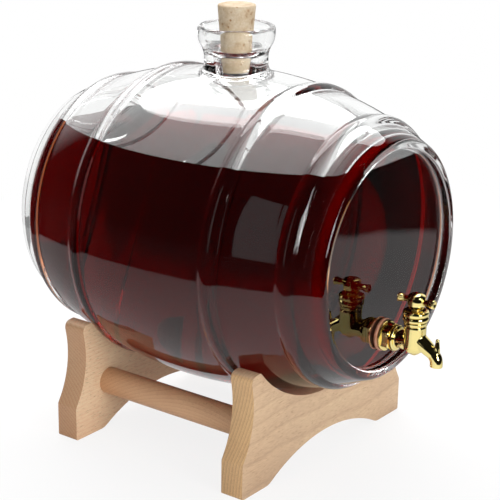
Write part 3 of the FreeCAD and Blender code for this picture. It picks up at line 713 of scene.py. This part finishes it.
# %% [markdown]
# ## The cork stopper
#
# The stopper tapers, so that it jams in the bore, and its rims are a little worn. A cone with a bevel
# would do, but half an outline swept round an axis, as on a lathe, also serves every turned piece of the
# tap.

# %% Turn the stopper
CORK_LINE = [
    (0, 0), (8.6, 0), (9.1, 0.3), (9.4, 1.0), (10.4, 12.0), (11.5, 25.0), (12.5, 37.0), (13.3, 46.6),
    (13.35, 47.6), (13.0, 48.3), (12.4, 48.5), (0, 48.5),
]


def lathe(name, profile, place, axis="Z", segments=96, sharp=40):
    """A closed turned piece."""
    bm = bmesh.new()
    turned(bm, profile, place, axis, segments)
    return finish_mesh(bm, name, sharp)


low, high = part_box("cork_stopper")
seat = Vector((0, BARREL.y, low.z))
stopper = lathe("cork_plug", CORK_LINE, seat, segments=72, sharp=50)
dress(stopper, "cork", cork_bark, "cork_stopper")

# %% [markdown]
# ## Polished and turned brass
#
# The tap is brass, buffed to a mirror and gold in colour. One even roughness would look painted, so it
# changes a little where fingers and cloths have been. The hidden pieces keep the duller surface that a
# lathe leaves, which is the same finish with other values.

# %% Brass finishes
def brass(name, colour, gloss, smears):
    """A brass whose roughness goes up from its gloss by its smears."""
    material, tree, output = new_material(name)
    surface = place_group(tree, uneven, Scale=90.0, Smear_Scale=260.0)
    cover(tree, output, {
        "Base Color": (*colour, 1),
        "Metallic": 1.0,
        "Roughness": stretch(tree, surface["Smear"], 0.3, 0.7, gloss, gloss + smears),
        "Normal": bump(tree, surface["Height"], strength=0.06, distance=0.0008),
    })
    print("made", name)
    return material


polished_brass = brass("polished_brass", (0.95, 0.80, 0.33), gloss=0.03, smears=0.07)
turned_brass = brass("turned_brass", (0.72, 0.54, 0.22), gloss=0.22, smears=0.15)

# %% [markdown]
# ## Rubber
#
# A soft brown gasket seals the tap to the glass and lets a little light in, and small black rings seal
# the plug. Both are moulded, so a plain colour would nearly do. A fine change of tone keeps them from
# looking painted.

# %% Rubber finishes
def rubber(name, smear_scale, dark, pale, roughness, clearness=0.0):
    """A rubber whose tone wanders between dark and pale."""
    material, tree, output = new_material(name)
    surface = place_group(tree, uneven, Scale=300.0, Smear_Scale=smear_scale)
    cover(tree, output, {
        "Base Color": ramp(tree, surface["Smear"], [(0.3, dark), (0.7, pale)]),
        "Roughness": roughness,
        "Transmission Weight": clearness,
    })
    print("made", name)
    return material


gasket_rubber = rubber("gasket_rubber", 500.0, (0.50, 0.22, 0.12), (0.68, 0.34, 0.22), 0.3, clearness=0.25)
seal_rubber = rubber("seal_rubber", 700.0, (0.02, 0.02, 0.02), (0.05, 0.05, 0.05), 0.6)

# %% [markdown]
# ## The tap's casting
#
# A plug cock is a casting with an upright barrel, a pipe behind it, a bent spout and a small peg. Its
# parts could be joined by Booleans and bevelled, but a casting has no sharp inner corners. So turned
# parts and a swept spout are melted together by a fine voxel remesh and smoothed, as a cast and buffed
# piece is.

# %% Outlines of the casting
UPRIGHT_LINE = [
    (0, -6.7), (4.4, -6.7), (5.6, -6.2), (6.8, -4.9), (7.5, -3.0), (7.7, -0.5), (7.7, 12.2), (7.0, 12.5),
    (7.0, 13.3), (7.9, 13.6), (7.9, 15.7), (7.6, 15.9), (0, 15.9),
]
PIPE_LINE = [
    (0, 2.0), (6.6, 2.0), (6.6, 12.6), (8.6, 12.9), (9.0, 13.4), (9.0, 15.2), (8.7, 15.7), (6.0, 15.7),
    (6.0, 43.9), (0, 43.9),
]
PEG_LINE = [(0, -4.0), (2.2, -4.0), (1.9, 0.5), (1.35, 4.6), (1.3, 6.0), (0.9, 6.6), (0, 6.6)]
SPOUT_END = -17.7
SPOUT_KEYS = [
    (1.0, 5.2), (-5.0, 1.6), (-10.0, -1.4), (-14.2, -4.2), (-16.9, -7.2), (SPOUT_END, -10.4),
    (SPOUT_END, -13.2),
]
SPOUT_PATH = smooth_line(SPOUT_KEYS, 6)
SPOUT_ROOT = 6.3
SPOUT_TAPER = 1.9
TAPER_STEPS = 20
VOXEL = 0.3
print("the spout has", len(SPOUT_PATH), "rings")


# %% Cast the tap
def swept(bm, path, radii, sides=32):
    """A tube through path points (y, z in millimetres from the tap's centre), with a radius at each."""
    rings = []
    side = Vector((1, 0, 0))
    for number, ((y, z), radius) in enumerate(zip(path, radii)):
        before = path[max(number - 1, 0)]
        after = path[min(number + 1, len(path) - 1)]
        up = Vector((0, after[0] - before[0], after[1] - before[1])).normalized().cross(side)
        middle = Vector((0, y, z))
        spots = [middle + (side * math.cos(a) + up * math.sin(a)) * radius for a in round_steps(sides)]
        rings.append([bm.verts.new(TAP + spot * MM) for spot in spots])
    for ring, after in zip(rings, rings[1:]):
        join_rings(bm, ring, after)
    bm.faces.new(rings[0])
    bm.faces.new(list(reversed(rings[-1])))


def apply_modifiers(piece):
    """Replace a piece's mesh by what its modifiers make of it, shaded smooth."""
    shown = piece.evaluated_get(bpy.context.evaluated_depsgraph_get())
    mesh = bpy.data.meshes.new_from_object(shown)
    piece.modifiers.clear()
    piece.data = mesh
    mesh.shade_smooth()


def build_casting():
    """Turned parts and a swept spout, melted together and smoothed."""
    bm = bmesh.new()
    turned(bm, UPRIGHT_LINE, TAP)
    turned(bm, PIPE_LINE, TAP, "Y")
    taper = [min(1, number / TAPER_STEPS) for number in range(len(SPOUT_PATH))]
    swept(bm, SPOUT_PATH, [SPOUT_ROOT - SPOUT_TAPER * share for share in taper])
    turned(bm, PEG_LINE, TAP + Vector((0, SPOUT_END, 0)) * MM, segments=24)
    piece = finish_mesh(bm, "tap_casting")
    melt = piece.modifiers.new("melt", "REMESH")
    melt.mode = "VOXEL"
    melt.voxel_size = VOXEL * MM
    soften = piece.modifiers.new("soften", "SMOOTH")
    soften.factor = 0.5
    soften.iterations = 6
    apply_modifiers(piece)
    return piece


dress(build_casting(), "barrel", polished_brass, "tap_body")

# %% [markdown]
# ## Bonnet and gasket
#
# A grooved ring closes the tap round its stem, and a gasket lies between the tap and the glass. Melted
# into the casting they would lose their crisp lines, so each is turned as a piece of its own.

# %% Turn the bonnet and the gasket
BONNET_LINE = [
    (3.05, 12.7), (4.45, 12.7), (4.45, 16.0), (7.4, 16.0), (8.2, 16.2), (8.8, 16.8), (8.9, 17.4), (8.9, 19.0),
    (8.5, 19.5), (8.3, 19.8), (8.5, 20.1), (8.9, 20.6), (8.9, 22.2), (8.8, 22.8), (8.2, 23.4), (7.4, 23.6),
    (3.05, 23.6), (3.05, 12.7),
]
PIPE_BORE = 6.1
GASKET_LINE = [
    (PIPE_BORE, 0), (11.0, 0), (11.4, 0.3), (11.6, 0.8), (11.6, 1.6), (11.4, 2.1), (11.0, 2.4),
    (PIPE_BORE, 2.4), (PIPE_BORE, 0),
]
bonnet = lathe("bonnet_turning", BONNET_LINE, TAP)
dress(bonnet, "barrel", polished_brass, "bonnet_ring")
low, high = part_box("outer_gasket")
gasket = lathe("gasket_ring", GASKET_LINE, Vector((0, low.y, TAP.z)), "Y")
dress(gasket, "barrel", gasket_rubber, "outer_gasket")

# %% [markdown]
# ## The flanged nut
#
# The nut that draws the tap to the glass is a hexagon on a round flange. A six-sided cylinder would have
# flats but no round for its front bevel to end on. So each ring of many points lies on the hexagon, or on
# a circle where that is smaller, and the flats meet the bevel in the curved lines of a real nut.

# %% Forge the nut
HALF_FLATS = 9.0
SIXTH = TURN / 6
HALF_CORNERS = HALF_FLATS / math.cos(SIXTH / 2)
HEXAGON_LINE = [(HALF_CORNERS, -2.0), (HALF_CORNERS, -7.1), (9.2, -7.8), (PIPE_BORE, -7.8)]
FLANGE_LINE = [
    (PIPE_BORE, 0), (10.4, 0), (10.8, -0.2), (11.0, -0.6), (11.0, -1.5), (10.8, -2.0), (10.3, -2.2),
    (PIPE_BORE, -2.2), (PIPE_BORE, 0),
]


def hexagon_ring(bm, place, reach, depth, sides=96):
    """A ring of points on the nut's hexagon, or on a circle of this reach where that is smaller."""
    ring = []
    for angle in round_steps(sides):
        sector = (angle + SIXTH / 2) % SIXTH - SIXTH / 2
        radius = min(reach, HALF_FLATS / math.cos(sector))
        spot = Vector((radius * math.cos(angle), depth, radius * math.sin(angle)))
        ring.append(bm.verts.new(place + spot * MM))
    return ring


def build_nut():
    """The flange, and the hexagon in front of it."""
    bm = bmesh.new()
    low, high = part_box("flange_nut")
    back = Vector((0, high.y, TAP.z))
    turned(bm, FLANGE_LINE, back, "Y")
    rings = [hexagon_ring(bm, back, reach, depth) for reach, depth in HEXAGON_LINE]
    for ring, after in zip(rings, rings[1:]):
        join_rings(bm, ring, after)
    return finish_mesh(bm, "nut_forging", 25)


dress(build_nut(), "barrel", polished_brass, "flange_nut")

# %% [markdown]
# ## The handle
#
# The handle is a domed hub with two arms that flare to dished ends. It could be one casting like the
# body, but it shows the sharp line where each arm meets the hub, so it is three turned forms in one mesh.

# %% Turn the handle
HUB_FOOT = -5.4
HUB_LINE = [
    (0, HUB_FOOT), (4.4, HUB_FOOT), (4.8, -5.2), (5.3, -4.2), (6.0, -2.9), (6.2, -2.2), (6.2, 3.0),
    *smooth_line([(6.0, 3.5), (5.0, 4.35), (3.4, 5.05), (1.7, 5.48), (0, 5.6)], 3),
]
ARM_LINE = [
    (0, 3.0), (2.1, 3.0), (2.1, 8.4), (2.25, 9.6), (2.7, 11.4), (3.05, 12.9), (3.1, 13.4), (2.9, 13.85),
    (2.4, 14.0), (1.5, 13.9), (0.8, 13.4), (0, 13.2),
]


def build_handle():
    """A hub and two arms."""
    bm = bmesh.new()
    low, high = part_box("tap_handle")
    centre = Vector((0, TAP.y, low.z - HUB_FOOT * MM))
    turned(bm, HUB_LINE, centre)
    for side in (-1, 1):
        turned(bm, [(radius, side * reach) for radius, reach in ARM_LINE], centre, "Y", 48)
    return finish_mesh(bm, "handle_cross", 40)


dress(build_handle(), "handle", polished_brass, "tap_handle")

# %% [markdown]
# ## Inner pieces
#
# The plug with its seals, washer and screw, and the nut and gasket inside the glass, hardly show. New
# surfaces for them would add nothing, so they keep their solids and only get a finish.

# %% Finishes of the inner pieces
INNER_FINISHES = {
    "tap_plug": turned_brass,
    "plug_washer": turned_brass,
    "plug_screw": polished_brass,
    "back_nut": turned_brass,
    "inner_gasket": gasket_rubber,
    "plug_o_rings": seal_rubber,
}
for name, material in INNER_FINISHES.items():
    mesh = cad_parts[name].data
    mesh.materials.clear()
    mesh.materials.append(material)
    print(name, "is", material.name)

# %% [markdown]
# ## Beech
#
# Beech is pale and even. Its year rings show as faint lines along a board's face and as rings on its sawn
# ends, among many short dark flecks. A picture of a plank would show the same cut on every face. One
# group draws solid wood instead, with its fibres along the board, so each face shows the cut that it has.

# %% Year rings
YEAR_GREYS = ((0.0, 0.5), (0.75, 0.62), (0.93, 0.36), (1.0, 0.5))


def calculate_vector(tree, operation, *values):
    """The result of a Vector Math node, which is a number for a length, a distance or a dot product."""
    node = add(tree, "ShaderNodeVectorMath", dict(enumerate(values)), operation=operation)
    return node.outputs["Value" if operation in ("LENGTH", "DISTANCE", "DOT_PRODUCT") else "Vector"]


wood, given, out = new_group(
    "beech_grain",
    [
        ("Ring Scale", FLOAT, 400.0),
        ("Fleck Amount", FLOAT, 0.5),
        ("Tone", COLOUR, (0.60, 0.42, 0.26, 1)),
        ("End Tint", COLOUR, WHITE),
        ("End Show", FLOAT, 1.0),
        ("Shift", VECTOR, (0, 0, 0)),
    ],
    [("Colour", COLOUR), ("Height", FLOAT), ("Roughness", FLOAT)],
)
where = add(wood, "ShaderNodeTexCoord").outputs
moved = calculate_vector(wood, "ADD", where["Object"], given["Shift"])
warp = noise(wood, moved, 6.0, detail=2.0)["Color"]
bent = calculate_vector(wood, "ADD", moved, calculate_vector(wood, "MULTIPLY", warp, (0.006, 0.006, 0.006)))
trunk = calculate_vector(wood, "LENGTH", calculate_vector(wood, "MULTIPLY", bent, (0.03, 1.0, 1.0)))
growth = calculate(wood, "FRACT", calculate(wood, "MULTIPLY", trunk, given["Ring Scale"]))
year = ramp(wood, growth, [(place, (grey, grey, grey)) for place, grey in YEAR_GREYS])
print("group", wood.name)

# %% Fibres, flecks and sawn ends
along = calculate_vector(wood, "MULTIPLY", bent, (45.0, 420.0, 420.0))
fibre = noise(wood, along, 4.0, detail=5.0, roughness=0.65)["Fac"]
short = calculate_vector(wood, "MULTIPLY", bent, (240.0, 1500.0, 1500.0))
fleck = stretch(wood, noise(wood, short, 1.0, detail=1.0)["Fac"], 0.62, 0.72)
marks = calculate(wood, "MULTIPLY", fleck, given["Fleck Amount"])
broad = noise(wood, moved, 14.0, detail=2.0)["Fac"]
facing = add(wood, "ShaderNodeSeparateXYZ", {0: where["Normal"]}).outputs["X"]
sawn_end = stretch(wood, calculate(wood, "ABSOLUTE", facing), 0.55, 0.85, 0.0, given["End Show"])
ring_show = stretch(wood, sawn_end, 0.0, 1.0, 0.4, 0.95)
print("the grain has", len(wood.nodes), "nodes so far")

# %% What the group puts out
colour = blend(wood, ring_show, given["Tone"], year, "OVERLAY")
colour = blend(wood, 0.45, colour, fibre, "OVERLAY")
colour = blend(wood, 0.25, colour, broad, "OVERLAY")
colour = blend(wood, marks, colour, (0.30, 0.165, 0.08, 1))
# The sawn ends take the end tint. Part of it is the deeper colour of end grain, and part is painted shade.
colour = blend(wood, sawn_end, colour, given["End Tint"], "MULTIPLY")
wood.links.new(colour, out["Colour"])
wood.links.new(calculate(wood, "SUBTRACT", fibre, marks), out["Height"])
wood.links.new(stretch(wood, fibre, 0.0, 1.0, 0.42, 0.62), out["Roughness"])
print("the grain has", len(wood.nodes), "nodes")


# %% Beech finishes
def beech(name, tone, shift, end_grain_and_shade_tint=(1.0, 1.0, 1.0), end_show=1.0):
    """A beech with its own tone, whose rings start from a place of their own."""
    material, tree, output = new_material(name)
    grain = place_group(tree, wood, Tone=(*tone, 1), End_Tint=(*end_grain_and_shade_tint, 1), End_Show=end_show, Shift=shift)
    cover(tree, output, {
        "Base Color": grain["Colour"],
        "Roughness": grain["Roughness"],
        "Normal": bump(tree, grain["Height"], strength=0.25, distance=0.0003),
    })
    print("made", name)
    return material


# The boards are one beech, but their colours hold painted light and shade. The front board's tone is set
# darker against the strong lamp in front of it. The rear board's tone is about 1.4 times brighter against the
# shade it stands in, and its end tint darkens its sawn ends as painted shade. The front end tint warms the
# sawn ends, partly as end grain does and partly as painted shade.
front_beech_painted_dimmer = beech("front_board_beech_painted_dimmer", (0.555, 0.38, 0.235), (0.0, 0.40, 0.02), end_grain_and_shade_tint=(1.05, 0.95, 0.75))
rear_beech_painted_brighter = beech("rear_board_beech_painted_brighter", (0.78, 0.53, 0.335), (0.0, -0.35, 0.30), end_grain_and_shade_tint=(0.62, 0.49, 0.41))
rail_beech = beech("rail_beech", (0.61, 0.345, 0.19), (0.02, 0.0, 0.09), end_show=0.0)

# %% [markdown]
# ## The cradle's boards
#
# Two boards are sawn to one outline: feet with an arch between them, a waist on each side, and horns
# beside a saddle that follows the glass. The solids have this outline too, in coarse steps. Here it is
# drawn again with finer curves, filled, and given a small bevel for the edges that sandpaper has eased.

# %% Sizes of a board
low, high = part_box("rear_cradle")
BOARD_INSIDE = (low.y - BARREL.y) / MM
SADDLE_GAP = 0.3
SADDLE = CENTRE + math.sqrt(STAVE ** 2 - BOARD_INSIDE ** 2) + SADDLE_GAP
AXIS_MM = BARREL.z / MM
BOARD_TOP = 87.6
FOOT_HALF = 100.0
FOOT_HIGH = 25.5
FOOT_ROUND = 1.6
FOOT_TOP_ROUND = 4.0
ARCH_HIGH = 18.4
ARCH_HALF = 69.3
ARCH_BEND = 139.6
ARCH_ROUND = 14.0
WAIST_BEND = 68.7
HORN_HALF = 92.5
HORN_ROUND = 6.5
SADDLE_ROUND = 2.2
EASED = 1.3
print("the saddle has a radius of", round(SADDLE, 2), "mm")


# %% A board's outline
def chord_arc(start, end, radius, steps):
    """An arc from start to end, about a centre to the right of that way."""
    start, end = Vector(start), Vector(end)
    chord = end - start
    right = Vector((chord.y, -chord.x)).normalized()
    centre = (start + end) / 2 + right * math.sqrt(radius ** 2 - (chord.length / 2) ** 2)
    return short_arc(centre, start, end, steps)


def round_corner(before, corner, after, radius, steps=6):
    """Replace a corner between straight sides by a small curve."""
    corner = Vector(corner)
    one = (Vector(before) - corner).normalized()
    two = (Vector(after) - corner).normalized()
    half = math.acos(max(-1, min(1, one.dot(two)))) / 2
    reach = radius / math.tan(half)
    shares = [number / steps for number in range(steps + 1)]
    return [tuple(corner + one * reach * (1 - t) ** 2 + two * reach * t ** 2) for t in shares]


def board_half():
    """The right half of a board's outline, from the arch's top up to the saddle's bottom."""
    seat_x = math.sqrt(SADDLE ** 2 - (AXIS_MM - BOARD_TOP) ** 2)
    toe = (FOOT_HALF, 0)
    ankle = (FOOT_HALF, FOOT_HIGH)
    arch = chord_arc((0, ARCH_HIGH), (ARCH_HALF, 0), ARCH_BEND, 14)
    waist = chord_arc(ankle, (HORN_HALF, BOARD_TOP), WAIST_BEND, 16)
    seat = chord_arc((seat_x, BOARD_TOP), (0, AXIS_MM - SADDLE), SADDLE, 18)
    points = arch[:-2]
    points += round_corner(arch[-3], arch[-1], toe, ARCH_ROUND)
    points += round_corner(arch[-1], toe, ankle, FOOT_ROUND)
    points += round_corner(toe, ankle, waist[2], FOOT_TOP_ROUND)
    points += waist[2:-3]
    points += round_corner(waist[-3], waist[-1], seat[0], HORN_ROUND)
    points += round_corner(waist[-1], seat[0], seat[2], SADDLE_ROUND, 4)
    return points + seat[2:]


print("half a board has", len(board_half()), "points")


# %% Saw the boards
def build_board(name, node):
    """A filled outline on both faces of the solid's box, with eased edges."""
    low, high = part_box(node)
    half = board_half()
    line = half + [(-x, z) for x, z in reversed(half[1:-1])]
    bm = bmesh.new()
    loops = [[bm.verts.new((x * MM, y, z * MM)) for x, z in line] for y in (low.y, high.y)]
    join_rings(bm, *loops)
    for loop in loops:
        fill_flat(bm, loop)
    piece = finish_mesh(bm, name)
    ease = piece.modifiers.new("eased_edges", "BEVEL")
    ease.width = EASED * MM
    ease.segments = 3
    ease.limit_method = "ANGLE"
    ease.angle_limit = math.radians(60)
    apply_modifiers(piece)
    piece.data.set_sharp_from_angle(angle=math.radians(50))
    return piece


dress(build_board("front_board", "front_cradle"), "stand", front_beech_painted_dimmer, "front_cradle")
dress(build_board("rear_board", "rear_cradle"), "stand", rear_beech_painted_brighter, "rear_cradle")

# %% [markdown]
# ## The rails
#
# Two round rails join the boards, glued into blind sockets. They are plain dowels with a small bevel at
# each end. A cylinder with a Bevel modifier would do as well, but the lathe is at hand.

# %% Turn the rails
RAIL = 10.0
RAIL_TIP = 9.4
RAIL_BEVEL = 0.8

for name, node in (("left_rail", "left_dowel"), ("right_rail", "right_dowel")):
    low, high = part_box(node)
    half = (high.y - low.y) / 2 / MM
    tips = [(0, -half), (RAIL_TIP, -half), (RAIL, -half + RAIL_BEVEL)]
    line = tips + [(radius, -place) for radius, place in reversed(tips)]
    rail = lathe(name, line, (low + high) / 2, "Y", 72, 50)
    dress(rail, "stand", rail_beech, node)

# %% [markdown]
# ## The table
#
# The cradle stands on a white table that runs on into white. More light would burn out the wood, so the
# table glows by itself for the rays of the camera, of mirrors and of glass. It stays plain paper for the
# light on the object, and enough of that shows to keep a soft shadow. Mirrors see the table end in a dark
# studio, and see a painted pool of light on it, brightest on the front left of the cradle. A ray that
# crossed more than four skins came through the drink, and finds a dim patch of painted shade behind the
# barrel, which keeps the drink's upper half dark.

# %% What each ray sees of the table
TABLE_MIDDLE = (0.10, 0.02, 0.0)
TABLE_PAINTED_POOL = (-0.2, -0.3, 0.0)
TABLE_SHADE = (0.43, 0.34, 0.0)
DRINK_DEPTH = 4.5


def glow(tree, strength, colour=WHITE):
    """A shader that gives light of its own."""
    return add(tree, "ShaderNodeEmission", {"Color": colour, "Strength": strength}).outputs[0]


white_table, tree, output = new_material("white_table")
where = add(tree, "ShaderNodeNewGeometry").outputs["Position"]
ray = add(tree, "ShaderNodeLightPath").outputs
far = calculate_vector(tree, "DISTANCE", where, TABLE_MIDDLE)
from_painted_pool = calculate_vector(tree, "DISTANCE", where, TABLE_PAINTED_POOL)
from_shade = calculate_vector(tree, "DISTANCE", where, TABLE_SHADE)
paper = add(tree, "ShaderNodeBsdfDiffuse", {"Color": (0.86, 0.86, 0.86, 1)}).outputs[0]
night = glow(tree, 1.0, (0.008, 0.008, 0.008, 1))
# A painted pool of light: mirrors see the table brightest near one spot in front of the cradle, and dimmer
# farther off.
painted_pool_glow = glow(tree, stretch(tree, from_painted_pool, 0.15, 0.55, 1.0, 0.55))
in_camera = mix_shaders(tree, stretch(tree, far, 0.2, 0.6, 0.84, 1.0), paper, glow(tree, 1.0))
in_mirror = mix_shaders(tree, stretch(tree, far, 0.55, 0.575), painted_pool_glow, night)
# Painted shade: rays through the drink see the table dimmed in a patch behind the barrel.
through_drink = calculate(tree, "GREATER_THAN", ray["Transmission Depth"], DRINK_DEPTH)
shaded = calculate(tree, "MULTIPLY", through_drink, stretch(tree, from_shade, 0.14, 0.30, 1.0, 0.0))
in_glass = glow(tree, stretch(tree, shaded, 0.0, 1.0, 1.0, 0.42))
print("the table has", len(tree.nodes), "nodes so far")

# %% Lay the table
seen = mix_shaders(tree, ray["Is Camera Ray"], paper, in_camera)
seen = mix_shaders(tree, ray["Is Glossy Ray"], seen, in_mirror)
seen = mix_shaders(tree, ray["Is Transmission Ray"], seen, in_glass)
tree.links.new(seen, output["Surface"])
bpy.ops.mesh.primitive_plane_add(size=8)
floor = bpy.context.object
floor.name = "white_table"
floor.data.materials.append(white_table)
print("table laid:", floor.name)

# %% [markdown]
# ## The world
#
# A studio is white where the camera looks and dark around, apart from a wall of white paper behind the
# object. Walls could be modelled, but they would throw their light on everything. The world's colour can
# follow the kind of ray instead: white to the camera, a soft fill to rough surfaces, and to mirrors and
# glass a dark room with one white wall.

# %% A dark room with a white wall
FILL = 0.6
WALL_WAY = (0.78, 0.62, 0)
ROOM_IN_MIRROR = 0.008
ROOM_IN_GLASS = 0.35


def background(tree, strength):
    """White light of this strength from the world."""
    return add(tree, "ShaderNodeBackground", {"Color": WHITE, "Strength": strength}).outputs[0]


world = bpy.data.worlds.new("studio")
bpy.context.scene.world = world
world.use_nodes = True
tree = world.node_tree
tree.nodes.clear()
output = tree.nodes.new("ShaderNodeOutputWorld").inputs
ray = add(tree, "ShaderNodeLightPath").outputs
heading = add(tree, "ShaderNodeTexCoord").outputs["Generated"]
level_way = calculate_vector(tree, "NORMALIZE", calculate_vector(tree, "MULTIPLY", heading, (1, 1, 0)))
wide = stretch(tree, calculate_vector(tree, "DOT_PRODUCT", level_way, WALL_WAY), 0.55, 0.72)
climb = add(tree, "ShaderNodeSeparateXYZ", {0: heading}).outputs["Z"]
wall = calculate(tree, "MULTIPLY", wide, stretch(tree, climb, 0.55, 0.72, 1.0, 0.0))
shade = stretch(tree, ray["Is Transmission Ray"], 0.0, 1.0, ROOM_IN_MIRROR, ROOM_IN_GLASS)
room = background(tree, stretch(tree, wall, 0.0, 1.0, shade, 1.0))
sharp_ray = calculate(tree, "MAXIMUM", ray["Is Glossy Ray"], ray["Is Transmission Ray"])
seen = mix_shaders(tree, sharp_ray, background(tree, FILL), room)
seen = mix_shaders(tree, ray["Is Camera Ray"], seen, background(tree, 1.0))
tree.links.new(seen, output["Surface"])
print("world made:", world.name)

# %% [markdown]
# ## Lamps
#
# Glass and brass are drawn by what they mirror, so the shape of each lamp matters more than its strength.
# A large round softbox hangs above and behind the barrel and gives the broad light. A tall card on the
# left and a narrow strip in front draw thin lines on the hoops. A square light in front and a low fill,
# which mirrors don't show, light the boards.

# %% Soft lights
def aim(thing, place, target, turn=0.0):
    """Put a lamp or a camera at a place, facing a target, turned about that line by degrees."""
    facing = (Vector(target) - Vector(place)).to_track_quat("-Z", "Y").to_matrix().to_4x4()
    thing.matrix_world = Matrix.Translation(place) @ facing @ Matrix.Rotation(math.radians(turn), 4, "Z")


def soft_light(name, place, target, width, height, watts):
    """A rectangular light at a place, facing a target."""
    lamp = bpy.data.lights.new(name, "AREA")
    lamp.shape = "RECTANGLE"
    lamp.size = width
    lamp.size_y = height
    lamp.energy = watts
    light = bpy.data.objects.new(name, lamp)
    bpy.context.scene.collection.objects.link(light)
    aim(light, place, target)
    print(name, "gives", watts, "watts")
    return light


softbox = soft_light("top_softbox", (0.45, 0.42, 0.9), (0.45, 0.42, 0), width=1.06, height=1.06, watts=14.0)
softbox.data.shape = "DISK"
soft_light("left_card", (-1.1, -0.05, 0.65), (-0.1, -0.05, 0.65), width=0.24, height=1.0, watts=0.4)
soft_light("front_light", (-0.45, -1.45, 0.5), (0, 0, 0.08), width=0.6, height=0.6, watts=7.0)
low_fill = soft_light("low_fill", (-0.75, -1.0, 0.16), (-0.05, 0.1, 0.06), width=0.5, height=0.25, watts=1.2)
low_fill.visible_glossy = False
soft_light("front_strip", (-0.25, -1.25, 0.55), (0, 0, 0.2), width=0.10, height=0.9, watts=2.5)

# %% [markdown]
# ## Camera
#
# The camera's place and lens were worked out from the edges of the boards, the hoops and the neck. The
# picture is a crop of a wider one, so the view is shifted a little. Light crosses many skins of glass and
# drink on its way, and a path that stops too soon is black, so the paths are long.

# %% Place the camera
PICTURE = 500
FOCAL = 1581.968
CENTRE_PIXEL = (193.342, 274.080)
UNDER_BARREL = Vector((0, BARREL.y, 0))
CAMERA_PLACE = UNDER_BARREL + Vector((-0.87736, -0.661491, 0.497784))
CAMERA_TARGET = UNDER_BARREL + Vector((-0.027373, 0.015824, 0.121930))
CAMERA_ROLL = 0.2244

lens = bpy.data.cameras.new("photo_camera")
lens.sensor_width = 36
lens.lens = lens.sensor_width * FOCAL / PICTURE
lens.shift_x = (PICTURE / 2 - CENTRE_PIXEL[0]) / PICTURE
lens.shift_y = (CENTRE_PIXEL[1] - PICTURE / 2) / PICTURE
camera = bpy.data.objects.new("photo_camera", lens)
bpy.context.scene.collection.objects.link(camera)
aim(camera, CAMERA_PLACE, CAMERA_TARGET, CAMERA_ROLL)
bpy.context.scene.camera = camera
bpy.context.scene.view_settings.view_transform = "Standard"
paths = bpy.context.scene.cycles
paths.max_bounces = 32
paths.glossy_bounces = 24
paths.transmission_bounces = 32
print("camera at", camera.location)
